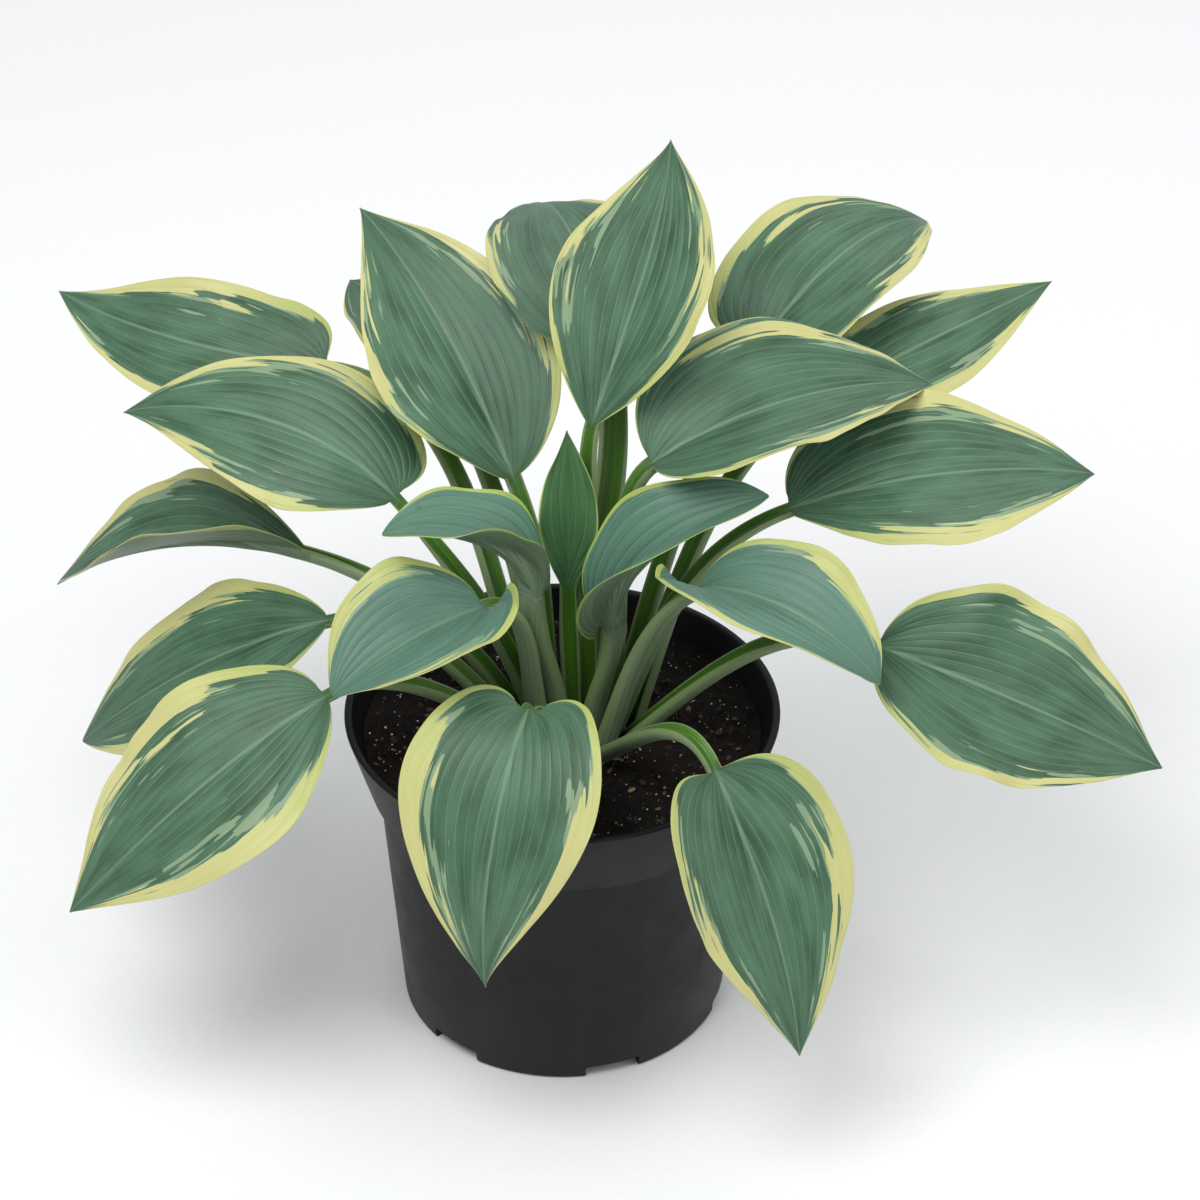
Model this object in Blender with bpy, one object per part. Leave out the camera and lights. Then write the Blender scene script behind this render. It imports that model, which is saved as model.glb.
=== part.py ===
"""Potted hosta: a moulded nursery pot, the potting mix that fills it, and a clump of broad leaves.

Metres, +Z up. The origin is on the pot's axis, on the surface that the pot stands on, and -Y is
the front. Each leaf is one closed body: it runs from a foot in the soil, up a channelled petiole
and along the midrib to the tip of the blade.
"""

from dataclasses import dataclass
from math import cos, radians, sin, tau

import bmesh
import bpy
import numpy as np
from mathutils import Matrix

# ---- driving dimensions -------------------------------------------------------------------------

GAP = 0.0003                # between two pieces that touch
TURNED_SIDES = 40           # facets round the pot and the soil

RIM_R = 0.095               # outside of the rim
POT_HEIGHT = 0.150
LIP = 0.0033                # thickness of the rim's lip
LIP_ROUND = 0.0009
COLLAR_DEPTH = 0.034        # flared band under the rim
COLLAR_FOOT_R = 0.0847
WALL_TOP_R = 0.0808         # outside of the wall, just under the collar
BASE_R = 0.0716
WALL = 0.0022
FOOT_ROUND = 0.0012
FOOT_RING = 0.005           # width of the ring that the pot stands on
FLOOR = 0.0025              # thickness of the floor
PAD_R = 0.045               # flat middle of the floor, which rests on the ground
CHANNEL = 0.0035            # how far the floor is raised round it, for drainage
CHANNEL_SLOPE = 0.0020      # run of the step between them

DRAIN_SLOTS = 6
DRAIN_FIRST = -72.0         # bearing of the first slot
DRAIN_SPAN = 20.0           # each slot's width as an angle
DRAIN_TOP = CHANNEL + FLOOR + 0.0002
DRAIN_REACH = 0.060         # each slot starts this far from the axis

SOIL_LEVEL = 0.138
SOIL_DIP = 0.0025           # how far the soil's surface falls below its level
SOIL_RINGS = (0.80, 0.52, 0.22)

CROWN = (0.006, 0.006)      # the plant's own axis, a little off the pot's
FOOT_DEPTH = 0.012          # how far a petiole goes down into the soil
FOOT_TAPER = 0.70           # size of its foot, to its size at the soil's level
HOLE_CLEARANCE = 0.00035
HOLE_CORNER = 1.3           # the clearance at a corner, to that at a flat side
HOLE_OVERRUN = 0.4          # how far a hole's cutter runs on above the soil, to the foot's depth

GROOVE_FOLD = 15.0          # a petiole's channel: angle of its sides at the middle
GROOVE_CURL = 30.0          # and how much more they turn up by the rims
GROOVE_SPREAD = 0.17        # extra width along the curved channel
BACK_DEPTH = 0.55           # depth of the rounded back, to the petiole's width
RIB_TAPER = 0.75            # how much narrower the rib under the blade is at the tip
BLADE = 0.0008              # thickness of the blade near its base
BLADE_TIP = 0.00065
TIP_HALF_WIDTH = 0.0008
MITRE_LIMIT = 2.5           # thickest the fold may get, to the blade's own thickness

LOBE_POWER = 1.6
LOBE_FADE = 0.004           # least breadth of the blade beyond its neck over which they come in
LOBE_CURL_END = 0.28        # how far along the midrib a lobe's own curl dies away
NECK_CURL = 0.2              # share of a lobe's curl that the neck has
NECK_CURL_END = 0.08         # and how far along the midrib the rest takes to come in
SECOND_SIDE_PHASE = 0.37    # the right margin's waves run this far ahead of the left's

PETIOLE_ROWS = (0.0, 0.12, 0.35, 0.60, 0.82)
BLADE_ROWS = (0.0, 0.03, 0.07, 0.13, 0.21, 0.31, 0.43, 0.55, 0.67, 0.78, 0.88, 0.95, 0.985)
OUTER_COLUMNS = (0.60, 1.0)  # half the blade, from midrib to margin, beyond the rib's own column
RIB_COLUMN = (0.12, 0.34)    # least and most of the half width that the rib's column lies at

INNER_RING, MIDDLE_RING, OUTER_RING = 0.007, 0.0165, 0.025  # rings of petioles round the crown


@dataclass(frozen=True)
class Leaf:
    """One leaf. Bearings and angles are in degrees and lengths in metres.

    base and tip are the blade's two ends: bearing and distance from the crown's axis, and height.
    root is the bearing and distance of the petiole's foot, and lean is its slope where it leaves
    the soil. handles say how far each end's direction carries along the petiole. stem is its width
    at the foot and at the blade.
    rise and side bend the midrib up and to the right, at the base and at the tip. roll tips the
    blade's face to the right. fold is each half's angle above the midrib at the base and the tip,
    curl is how much more it turns by the margin, and lobe_curl turns up the left and right lobes.
    shoulder and point shape the outline, lobe is how far the left and right lobes reach back as a
    share of the midrib, lobe_at is where along it they do so most, lobe_form under 1 makes them
    rounder, and cup is how steeply they rise behind the base. ruffle is the waves' height, their
    number and their phase.
    """

    name: str
    base: tuple
    tip: tuple
    root: tuple
    width: float
    roll: float = 0.0
    rise: tuple = (15.0, -15.0)
    side: tuple = (0.0, 0.0)
    fold: tuple = (25.0, 5.0)
    curl: tuple = (0.0, 0.0)
    lobe: tuple = (0.10, 0.10)
    lobe_curl: tuple = (0.0, 0.0)
    lobe_at: float = 0.12
    lobe_form: float = 1.0
    cup: float = 0.0
    shoulder: float = 0.62
    point: float = 1.15
    ruffle: tuple = (0.0015, 2.5, 0.0)
    stem: tuple = (0.008, 0.006)
    lean: float = 70.0
    handles: tuple = (0.40, 0.35)


LEAVES = (
    # Left side, the outer and upper leaves.
    Leaf("leaf_01", (135, 0.157, 0.251), (144, 0.290, 0.254), (145, OUTER_RING), 0.066,
         roll=-26, rise=(8, -8), side=(-16, 16), fold=(15, 5), lobe=(0.10, 0.07),
         ruffle=(0.004, 1.4, 0), lean=66),
    Leaf("leaf_02", (158, 0.084, 0.235), (158, 0.214, 0.247), (174, MIDDLE_RING), 0.073,
         roll=-29, rise=(26, -24), side=(24, -20), fold=(12, 5), curl=(-20, -10), lobe=(-0.03, 0.07)),
    Leaf("leaf_03", (127, 0.045, 0.243), (125, 0.166, 0.318), (134, MIDDLE_RING), 0.082,
         roll=-18, rise=(12, -18), side=(6, -8), lobe=(-0.04, 0), shoulder=0.7, point=1.25,
         stem=(0.008, 0.007), lean=80),
    # Upright leaves at the back.
    Leaf("leaf_04", (73, 0.0245, 0.278), (70, 0.119, 0.366), (64, 0.013), 0.076,
         roll=6, rise=(8, -8), side=(4, -14), fold=(40, 18), lobe=(0, 0), shoulder=0.95, point=1.3,
         stem=(0.007, 0.006), lean=86, handles=(0.35, 0.12)),
    Leaf("leaf_05", (80, 0.074, 0.290), (95, 0.185, 0.292), (79, OUTER_RING), 0.092,
         roll=2, rise=(30, -32), fold=(20, 5), point=1.3, stem=(0.009, 0.011), lean=84),
    Leaf("leaf_06", (118, 0.135, 0.247), (122, 0.193, 0.264), (122, OUTER_RING), 0.060,
         rise=(25, -25), lean=68),
    # Right side, the outer and upper leaves.
    Leaf("leaf_07", (48, 0.120, 0.275), (48, 0.235, 0.288), (35, OUTER_RING), 0.076,
         roll=8, rise=(42, -45)),
    Leaf("leaf_08", (34, 0.131, 0.262), (32, 0.248, 0.283), (10, OUTER_RING), 0.053,
         roll=24, rise=(2, -2), fold=(0, -10), lean=68),
    Leaf("leaf_09", (22, 0.035, 0.265), (22, 0.166, 0.273), (32, MIDDLE_RING), 0.084,
         roll=13, rise=(30, -28), fold=(28, 14), lobe=(0.02, 0.02), stem=(0.008, 0.007), lean=82,
         handles=(0.40, 0.20)),
    Leaf("leaf_10", (7, 0.092, 0.243), (7, 0.224, 0.250), (356, MIDDLE_RING), 0.088,
         roll=16, rise=(20, -22), fold=(18, 0), lobe=(0.04, -0.04), shoulder=0.75, point=1.1),
    # Left side, the low leaves that arch out over the rim.
    Leaf("leaf_11", (160, 0.127, 0.198), (160, 0.249, 0.152), (171, OUTER_RING), 0.068,
         roll=-3, rise=(25, -22), fold=(75, 10), lobe=(0, 0), shoulder=0.95, point=0.95, lean=60),
    Leaf("leaf_12", (173, 0.109, 0.183), (174, 0.221, 0.110), (196, 0.0265), 0.083,
         roll=-16, rise=(18, -16), fold=(15, 5), curl=(-20, -10), lobe=(0, 0), shoulder=0.8, point=0.95,
         lean=52),
    Leaf("leaf_13", (213, 0.047, 0.218), (212, 0.120, 0.199), (213, MIDDLE_RING), 0.069,
         roll=-15, rise=(20, -20), fold=(25, 26), lobe=(0.24, 0), lobe_at=0.34, lobe_form=0.6,
         lobe_curl=(75, 0), cup=65, point=0.86, stem=(0.009, 0.006), lean=74),
    Leaf("leaf_14", (203, 0.115, 0.185), (203, 0.234, 0.105), (235, 0.026), 0.088,
         roll=-20, rise=(18, -12), fold=(15, 5), curl=(-20, -10), lobe=(0, 0.04), shoulder=0.75,
         lean=46),
    # Young leaves at the crown, still folded.
    Leaf("leaf_15", (200, 0.0195, 0.213), (195, 0.084, 0.252), (200, INNER_RING), 0.046,
         roll=-3, rise=(62, -38), fold=(80, 20), lobe=(-0.12, -0.08), lobe_at=0.15, lobe_form=0.8,
         shoulder=0.8, point=0.85, stem=(0.010, 0.010), lean=88, handles=(0.40, 0.25)),
    Leaf("leaf_16", (335, 0.017, 0.196), (355, 0.082, 0.262), (330, INNER_RING), 0.050,
         roll=14, rise=(56, -35), fold=(85, 18), lobe=(-0.06, 0.12), lobe_at=0.15, lobe_form=0.6,
         shoulder=0.8, point=0.9, stem=(0.010, 0.009), lean=88, handles=(0.40, 0.20)),
    Leaf("leaf_17", (107, 0.011, 0.204), (103, 0.016, 0.280), (110, 0.0048), 0.027,
         rise=(5, -5), fold=(25, 20), lobe=(0, 0), shoulder=1.0, stem=(0.006, 0.007), lean=86),
    # Right side and front, the low leaves.
    Leaf("leaf_18", (328, 0.061, 0.231), (328, 0.149, 0.216), (314, 0.0175), 0.060,
         roll=10, rise=(48, -48), fold=(31, 15), lobe=(-0.05, 0.20), lobe_at=0.26,
         lobe_form=0.6, lobe_curl=(0, 90), cup=70, shoulder=0.7, point=1.05, stem=(0.009, 0.006), lean=74),
    Leaf("leaf_19", (342, 0.134, 0.209), (343, 0.258, 0.170), (338, OUTER_RING), 0.087,
         roll=32, rise=(8, -10), lobe=(0.02, 0.03), shoulder=0.75, ruffle=(0.003, 4, 0), lean=50),
    Leaf("leaf_20", (252, 0.064, 0.190), (252, 0.123, 0.085), (262, OUTER_RING), 0.086,
         roll=-4, rise=(52, -36), side=(4, -8), fold=(14, 5), lobe=(0.10, 0.09), lobe_at=0.06,
         lobe_form=0.8, shoulder=0.7, point=1.45, lean=52, handles=(0.40, 0.15)),
    Leaf("leaf_21", (303, 0.107, 0.180), (303, 0.173, 0.071), (290, OUTER_RING), 0.084,
         rise=(8, -6), side=(-4, 10), lobe=(0.05, 0.10), lean=42),
)


# ---- small vector helpers -----------------------------------------------------------------------

UP = np.array((0.0, 0.0, 1.0))


def unit(vectors):
    return vectors / np.linalg.norm(vectors, axis=-1, keepdims=True)


def around_crown(bearing, distance, height):
    angle = radians(bearing)
    return np.array((CROWN[0] + distance * cos(angle), CROWN[1] + distance * sin(angle), height))


def bezier(points, t):
    t = np.asarray(t, float)[..., None]
    a, b, c, d = points
    return (1 - t) ** 3 * a + 3 * (1 - t) ** 2 * t * b + 3 * (1 - t) * t ** 2 * c + t ** 3 * d


def bezier_direction(points, t):
    t = np.asarray(t, float)[..., None]
    a, b, c, d = points
    return unit((1 - t) ** 2 * (b - a) + 2 * (1 - t) * t * (c - b) + t ** 2 * (d - c))


def smoothstep(t):
    t = np.clip(t, 0, 1)
    return t * t * (3 - 2 * t)


def blend(pair, amount):
    return pair[0] + (pair[1] - pair[0]) * amount


def bent_strip(fold, curl, across):
    """(sideways, upwards) of a strip that leaves the midrib at angle fold and turns up by curl more."""
    curl = np.where(np.abs(curl) < 1e-4, 1e-4, curl)
    sideways = (np.sin(fold + curl * across) - np.sin(fold)) / curl
    upwards = (np.cos(fold) - np.cos(fold + curl * across)) / curl
    return sideways, upwards


# ---- the leaf's surface -------------------------------------------------------------------------

class LeafShape:
    """The centre line and the upper surface of one leaf."""

    def __init__(self, leaf):
        self.leaf = leaf
        base = around_crown(*leaf.base)
        tip = around_crown(*leaf.tip)
        along = unit(tip - base)
        level = unit(UP - along[2] * along)
        right = np.cross(along, level)
        roll = radians(leaf.roll)
        self.face = level * cos(roll) + right * sin(roll)
        self.right = right * cos(roll) - level * sin(roll)
        start = self.direction(along, leaf.rise[0], leaf.side[0])
        end = self.direction(along, leaf.rise[1], leaf.side[1])
        reach = np.linalg.norm(tip - base) / 3
        self.midrib = (base, base + start * reach, tip - end * reach, tip)

        root = around_crown(*leaf.root, SOIL_LEVEL)
        outward = unit((base - root) * (1, 1, 0))
        lean = radians(leaf.lean)
        leaving = outward * cos(lean) + UP * sin(lean)
        span = np.linalg.norm(base - root)
        self.petiole = (root, root + leaving * span * leaf.handles[0],
                        base - start * span * leaf.handles[1], base)
        self.root_right = np.cross(outward, UP)

    def direction(self, along, rise, side):
        rise, side = radians(rise), radians(side)
        forward = along * cos(side) + self.right * sin(side)
        return unit(forward * cos(rise) + self.face * sin(rise))

    def midrib_frame(self, t):
        """Point, direction, right and face along the midrib. Before the base it runs on and up."""
        inside = np.clip(t, 0, 1)
        direction = bezier_direction(self.midrib, inside)
        right = unit(self.right - (direction @ self.right)[..., None] * direction)
        face = np.cross(right, direction)
        cup = radians(self.leaf.cup)
        behind = np.maximum(-t, 0)[..., None] * 3 * np.linalg.norm(self.midrib[1] - self.midrib[0])
        point = bezier(self.midrib, inside) + behind * (face * sin(cup) - direction * cos(cup))
        return point, direction, right, face

    def petiole_frame(self, t):
        """The same along the petiole, turning smoothly from its foot's bearing to the blade's."""
        direction = bezier_direction(self.petiole, t)
        blade_right = self.midrib_frame(np.zeros(1))[2][0]
        turn = smoothstep(t)[..., None]
        right = self.root_right * (1 - turn) + blade_right * turn
        right = unit(right - (right * direction).sum(-1, keepdims=True) * direction)
        return bezier(self.petiole, t), direction, right, np.cross(right, direction)

    def half_width(self, u):
        """Half the blade's width: a power curve with its peak at the shoulder, from the petiole's."""
        leaf = self.leaf
        peak = leaf.shoulder / (leaf.shoulder + leaf.point)
        outline = u ** leaf.shoulder * (1 - u) ** leaf.point
        outline = outline / (peak ** leaf.shoulder * (1 - peak) ** leaf.point)
        neck = leaf.stem[1] / 2 * np.clip(1 - 2 * u, 0, 1) ** 4 * (1 - outline)
        return np.maximum(leaf.width / 2 * outline + neck, TIP_HALF_WIDTH)

    @staticmethod
    def of_side(pair, v):
        """The left or the right value of a pair, by the side of the midrib that v is on."""
        return np.where(v > 0, pair[1], pair[0])

    def blade(self, u, v):
        """Point of the upper surface, u along the midrib and v from the left margin to the right."""
        leaf = self.leaf
        across = np.abs(v)
        half = self.half_width(u)
        neck = leaf.stem[1] / 2
        past_neck = np.clip((across * half - neck) / np.maximum(half - neck, LOBE_FADE), 0, 1)
        back = (u / leaf.lobe_at * np.exp(1 - u / leaf.lobe_at)) ** leaf.lobe_form * (1 - u ** 3)
        back = back * past_neck ** LOBE_POWER
        point, _, right, face = self.midrib_frame(u - self.of_side(leaf.lobe, v) * back)
        lobe_curl = self.of_side(leaf.lobe_curl, v) * np.exp(-(u / LOBE_CURL_END) ** 2)
        lobe_curl = lobe_curl * blend((NECK_CURL, 1), smoothstep(u / NECK_CURL_END))
        fold = np.radians(blend(leaf.fold, u ** 0.7))
        curl = np.radians(blend(leaf.curl, u) + lobe_curl)
        sideways, upwards = bent_strip(fold, curl, across)
        height, waves, phase = leaf.ruffle
        wave = np.sin(tau * (waves * u + phase + self.of_side((0, SECOND_SIDE_PHASE), v)))
        ruffle = height * across ** 3 * wave * np.minimum(2 * half / leaf.width, 1)
        sideways, upwards = half * sideways, half * upwards + ruffle
        return point + (np.sign(v) * sideways)[..., None] * right + upwards[..., None] * face

    def stem_half_width(self, t):
        return blend(self.leaf.stem, t) / 2

    def channel(self, t, v):
        """Point of the petiole's grooved upper side, t along it and v from its left rim to its right."""
        point, _, right, face = self.petiole_frame(t)
        opening = smoothstep((t - 0.5) / 0.5)
        fold = np.radians(blend((GROOVE_FOLD, self.leaf.fold[0]), opening))
        blade_curl = self.leaf.curl[0] + NECK_CURL * self.of_side(self.leaf.lobe_curl, v)
        curl = np.radians(blend((GROOVE_CURL, blade_curl), opening))
        sideways, upwards = bent_strip(fold, curl, np.abs(v))
        half = self.stem_half_width(t) * (1 + GROOVE_SPREAD * (1 - opening))
        sideways, upwards = half * sideways, half * upwards
        return point + (np.sign(v) * sideways)[..., None] * right + upwards[..., None] * face

    def point(self, s, v):
        """Upper side of the whole leaf: s is -1 at the soil, 0 at the blade's base and 1 at its tip."""
        s, v = np.broadcast_arrays(np.asarray(s, float), np.asarray(v, float))
        stem = self.channel(np.clip(s + 1, 0, 1), v)
        return np.where((s < 0)[..., None], stem, self.blade(np.clip(s, 0, 1), v))

    def normal(self, s, v):
        """Upward normal of the upper side, from differences inside the half that v lies in."""
        step = 1e-4
        side = np.where(v > 0, 1.0, -1.0)
        s_low = np.where(s > 0, np.maximum(s - step, 1e-9), np.maximum(s - step, -1))
        s_high = np.where(s > 0, np.minimum(s + step, 1), np.minimum(s + step, -1e-9))
        along = self.point(s_high, v) - self.point(s_low, v)
        inward = np.where(np.abs(v) < step, side * step, v - side * step)
        outward = np.where(np.abs(v) < step, -side, side)[..., None]
        across = (self.point(s, v) - self.point(s, inward)) * outward
        return unit(np.cross(across, along))

    def rib(self, s):
        """(half width, depth) of the petiole's rounded back, which runs on under the blade as its rib."""
        stem = self.stem_half_width(np.clip(s + 1, 0, 1))
        along_blade = np.clip(s, 0, 1)
        return stem * (1 - RIB_TAPER * along_blade), 2 * BACK_DEPTH * stem * (1 - along_blade) ** 1.5


def leaf_rows(leaf):
    """Upper and lower rows of points of one leaf, and the directions of the rows' centre line."""
    shape = LeafShape(leaf)
    s = np.array([t - 1 for t in PETIOLE_ROWS] + list(BLADE_ROWS))[:, None]
    rib_half, rib_depth = shape.rib(s)
    half = np.where(s < 0, rib_half, shape.half_width(np.clip(s, 0, 1)))
    rib_column = np.clip(1.15 * rib_half / half, *RIB_COLUMN)
    right_half = np.concatenate([rib_column] + [np.full_like(s, column) for column in OUTER_COLUMNS], axis=1)
    v = np.concatenate([-right_half[:, ::-1], np.zeros_like(s), right_half], axis=1)
    s_all = np.broadcast_to(s, v.shape)

    upper = shape.point(s_all, v)
    normal = shape.normal(s_all, v)
    middle = v.shape[1] // 2
    on_right = shape.normal(s, np.full_like(s, 1e-9))[:, 0]
    on_left = shape.normal(s, np.full_like(s, -1e-9))[:, 0]
    normal[:, middle] = unit(on_right + on_left)
    mitre = np.ones_like(v)
    mitre[:, middle] = np.minimum(1 / (normal[:, middle] * on_right).sum(-1), MITRE_LIMIT)
    sheet = blend((BLADE, BLADE_TIP), np.clip(s, 0, 1))
    roundness = np.sqrt(np.clip(1 - (v * half / rib_half) ** 2, 0, 1))
    thickness = sheet * mitre + rib_depth * roundness
    lower = upper - thickness[..., None] * normal

    leaving = bezier_direction(shape.petiole, 0.0)
    for row in (upper, lower):
        row[0] += leaving * ((SOIL_LEVEL - row[0, :, 2:]) / leaving[2])
    centre = np.concatenate([upper[0], lower[0]]).mean(axis=0)
    feet = [centre + FOOT_TAPER * (row[:1] - centre) for row in (upper, lower)]
    for foot in feet:
        foot[..., 2] = SOIL_LEVEL - FOOT_DEPTH
    return np.concatenate([feet[0], upper]), np.concatenate([feet[1], lower])


# ---- mesh building ------------------------------------------------------------------------------

def add_object(name, points, faces, material):
    mesh = bpy.data.meshes.new(name)
    mesh.from_pydata([tuple(point) for point in points], [], faces)
    mesh.update()
    obj = bpy.data.objects.new(name, mesh)
    if material is not None:
        mesh.materials.append(material)
    bpy.context.scene.collection.objects.link(obj)
    return obj


def shade_round(obj, crease_degrees):
    obj.data.shade_smooth()
    obj.data.set_sharp_from_angle(angle=radians(crease_degrees))


def loft(rings):
    """Triangles of a closed body through rings of equal length, with a strip as each end cap.

    Each ring runs along the upper side and back along the lower. Both sides are split by the same
    diagonals, from the midrib forwards and outwards in, so a thin waved sheet never crosses itself.
    """
    rows, around = rings.shape[:2]
    columns = around // 2

    def at(row, place):
        return row * around + place % around

    faces = []
    for row in range(rows - 1):
        for place in range(around):
            near, far = at(row, place), at(row, place + 1)
            near_up, far_up = at(row + 1, place), at(row + 1, place + 1)
            toward_midrib = place < columns // 2 or columns <= place < columns + columns // 2
            if toward_midrib:
                faces += [(near, far, far_up), (near, far_up, near_up)]
            else:
                faces += [(near, far, near_up), (far, far_up, near_up)]
    for row, outward in ((0, True), (rows - 1, False)):
        for column in range(columns - 1):
            above, above_next = at(row, column), at(row, column + 1)
            below, below_next = at(row, around - 1 - column), at(row, around - 2 - column)
            quad = [(above, below, above_next), (below, below_next, above_next)]
            faces += quad if outward else [face[::-1] for face in quad]
    return faces


def rings_of(upper, lower):
    return np.concatenate([upper, lower[:, ::-1]], axis=1)


def facing_out(obj):
    """Turns every face of a closed body outwards."""
    mesh = bmesh.new()
    mesh.from_mesh(obj.data)
    if mesh.calc_volume(signed=True) < 0:
        bmesh.ops.reverse_faces(mesh, faces=mesh.faces)
    mesh.to_mesh(obj.data)
    mesh.free()
    return obj


def turned(name, profile, material):
    """A body of revolution about +Z: profile starts and ends on the axis."""
    mesh = bmesh.new()
    points = [mesh.verts.new((radius, 0, height)) for radius, height in profile]
    edges = [mesh.edges.new(pair) for pair in zip(points, points[1:])]
    bmesh.ops.spin(mesh, geom=points + edges, cent=(0, 0, 0), axis=(0, 0, 1), angle=tau,
                   steps=TURNED_SIDES, use_merge=True)
    bmesh.ops.remove_doubles(mesh, verts=mesh.verts, dist=1e-6)
    bmesh.ops.recalc_face_normals(mesh, faces=mesh.faces)
    data = bpy.data.meshes.new(name)
    mesh.to_mesh(data)
    mesh.free()
    data.materials.append(material)
    obj = bpy.data.objects.new(name, data)
    bpy.context.scene.collection.objects.link(obj)
    return obj


def cut_with(obj, cutters, name):
    """Cuts every cutter from obj. The cutters stay in a collection of their own, as guides."""
    group = bpy.data.collections.new(name)
    bpy.context.scene.collection.children.link(group)
    for cutter in cutters:
        for old in cutter.users_collection:
            old.objects.unlink(cutter)
        group.objects.link(cutter)
        cutter.hide_render = True
        cutter.display_type = "WIRE"
    cut = obj.modifiers.new(name, "BOOLEAN")
    cut.operation = "DIFFERENCE"
    cut.operand_type = "COLLECTION"
    cut.collection = group
    cut.solver = "EXACT"


def material(name, colour, roughness, metallic=0.0):
    made = bpy.data.materials.new(name)
    made.use_nodes = True
    shader = made.node_tree.nodes["Principled BSDF"]
    shader.inputs["Base Color"].default_value = (*colour, 1)
    shader.inputs["Roughness"].default_value = roughness
    shader.inputs["Metallic"].default_value = metallic
    return made


# ---- pot ----------------------------------------------------------------------------------------

COLLAR_FOOT = POT_HEIGHT - COLLAR_DEPTH


def inner_wall(height):
    """Radius of the pot's inside at a height: the wall, then the flared collar."""
    if height <= COLLAR_FOOT:
        slope = (WALL_TOP_R - BASE_R) / COLLAR_FOOT
        return BASE_R + slope * height - WALL
    start = WALL_TOP_R - WALL
    return start + (RIM_R - LIP - start) * (height - COLLAR_FOOT) / COLLAR_DEPTH


def floor_steps(gap):
    """The inside of the floor, from the axis to the wall, raised and drawn in by gap."""
    low, high = FLOOR + gap, CHANNEL + FLOOR + gap
    edge = PAD_R - CHANNEL_SLOPE / 4 - gap
    return [(0, low), (edge, low), (edge + CHANNEL_SLOPE, high), (inner_wall(high) - gap, high)]


def make_pot(plastic):
    outside = [
        (RIM_R - LIP, POT_HEIGHT - LIP_ROUND),
        (RIM_R - LIP + LIP_ROUND, POT_HEIGHT),
        (RIM_R - LIP_ROUND, POT_HEIGHT),
        (RIM_R, POT_HEIGHT - LIP_ROUND),
        (COLLAR_FOOT_R, COLLAR_FOOT + LIP_ROUND),
        (COLLAR_FOOT_R - LIP_ROUND, COLLAR_FOOT),
        (WALL_TOP_R, COLLAR_FOOT - LIP_ROUND),
        (BASE_R, FOOT_ROUND),
        (BASE_R - FOOT_ROUND, 0),
        (BASE_R - FOOT_RING, 0),
        (BASE_R - FOOT_RING, CHANNEL),
        (PAD_R + CHANNEL_SLOPE, CHANNEL),
        (PAD_R, 0),
        (0, 0),
    ]
    inside = [*floor_steps(0), (inner_wall(COLLAR_FOOT), COLLAR_FOOT)]
    pot = turned("pot", inside + outside, plastic)
    shade_round(pot, 35)

    half_span = BASE_R * sin(radians(DRAIN_SPAN / 2))
    low, high = -DRAIN_TOP, DRAIN_TOP
    cutters = []
    for index in range(DRAIN_SLOTS):
        bearing = radians(DRAIN_FIRST + index * 360 / DRAIN_SLOTS)
        bpy.ops.mesh.primitive_cube_add(size=1)
        slot = bpy.context.object
        slot.name = f"drain_slot_cutter_{index + 1}"
        slot.data.transform(Matrix.Diagonal((RIM_R - DRAIN_REACH, 2 * half_span, high - low, 1)))
        middle = (RIM_R + DRAIN_REACH) / 2
        slot.location = (middle * cos(bearing), middle * sin(bearing), 0)
        slot.rotation_euler = (0, 0, bearing)
        cutters.append(slot)
    cut_with(pot, cutters, "drain_slots")
    return pot


# ---- soil ---------------------------------------------------------------------------------------

def dip(x, y):
    """How far the soil's surface lies below its level: slow rises and falls, never above it."""
    return SOIL_DIP * (0.5 + 0.3 * sin(75 * x + 0.8) * cos(60 * y - 0.4) + 0.2 * sin(130 * y + 40 * x))


def make_soil(earth, hole_cutters):
    rim = inner_wall(SOIL_LEVEL) - GAP
    profile = [
        *floor_steps(GAP),
        (inner_wall(COLLAR_FOOT) - GAP, COLLAR_FOOT),
        (rim, SOIL_LEVEL),
        *((rim * share, SOIL_LEVEL) for share in SOIL_RINGS),
        (0, SOIL_LEVEL),
    ]
    soil = turned("soil", profile, earth)
    for vertex in soil.data.vertices:
        x, y, z = vertex.co
        if z > SOIL_LEVEL - 1e-5 and np.hypot(x, y) < rim - 0.001:
            vertex.co.z -= dip(x, y)
    cut_with(soil, hole_cutters, "petiole_holes")
    return soil


# ---- leaves -------------------------------------------------------------------------------------

def make_leaf(leaf, green):
    upper, lower = leaf_rows(leaf)
    rings = rings_of(upper, lower)
    obj = add_object(leaf.name, rings.reshape(-1, 3), loft(rings), green)
    facing_out(obj)
    shade_round(obj, 60)
    return obj


def make_hole_cutter(leaf):
    """A plain hole in the soil: the foot of a petiole without its groove, grown by the clearance.

    It runs on straight past the soil's level, by a share of the foot's depth.
    """
    upper, lower = leaf_rows(leaf)
    outline = np.concatenate([upper[:2, [0, -1]], lower[:2, ::-1]], axis=1)
    middle = outline.mean(axis=1, keepdims=True)
    outward = unit((outline - middle) * (1, 1, 0))
    outline = outline + outward * HOLE_CLEARANCE * HOLE_CORNER
    foot, neck = outline
    foot[:, 2] -= HOLE_CLEARANCE
    rings = np.array([foot, neck + (neck - foot) * HOLE_OVERRUN])
    mesh = bmesh.new()
    low, high = ([mesh.verts.new(point) for point in ring] for ring in rings)
    for index in range(len(low)):
        after = (index + 1) % len(low)
        mesh.faces.new((low[index], low[after], high[after], high[index]))
    mesh.faces.new(low[::-1])
    mesh.faces.new(high)
    bmesh.ops.triangulate(mesh, faces=mesh.faces)
    data = bpy.data.meshes.new(f"hole_for_{leaf.name}")
    mesh.to_mesh(data)
    mesh.free()
    cutter = bpy.data.objects.new(data.name, data)
    bpy.context.scene.collection.objects.link(cutter)
    return facing_out(cutter)


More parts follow.
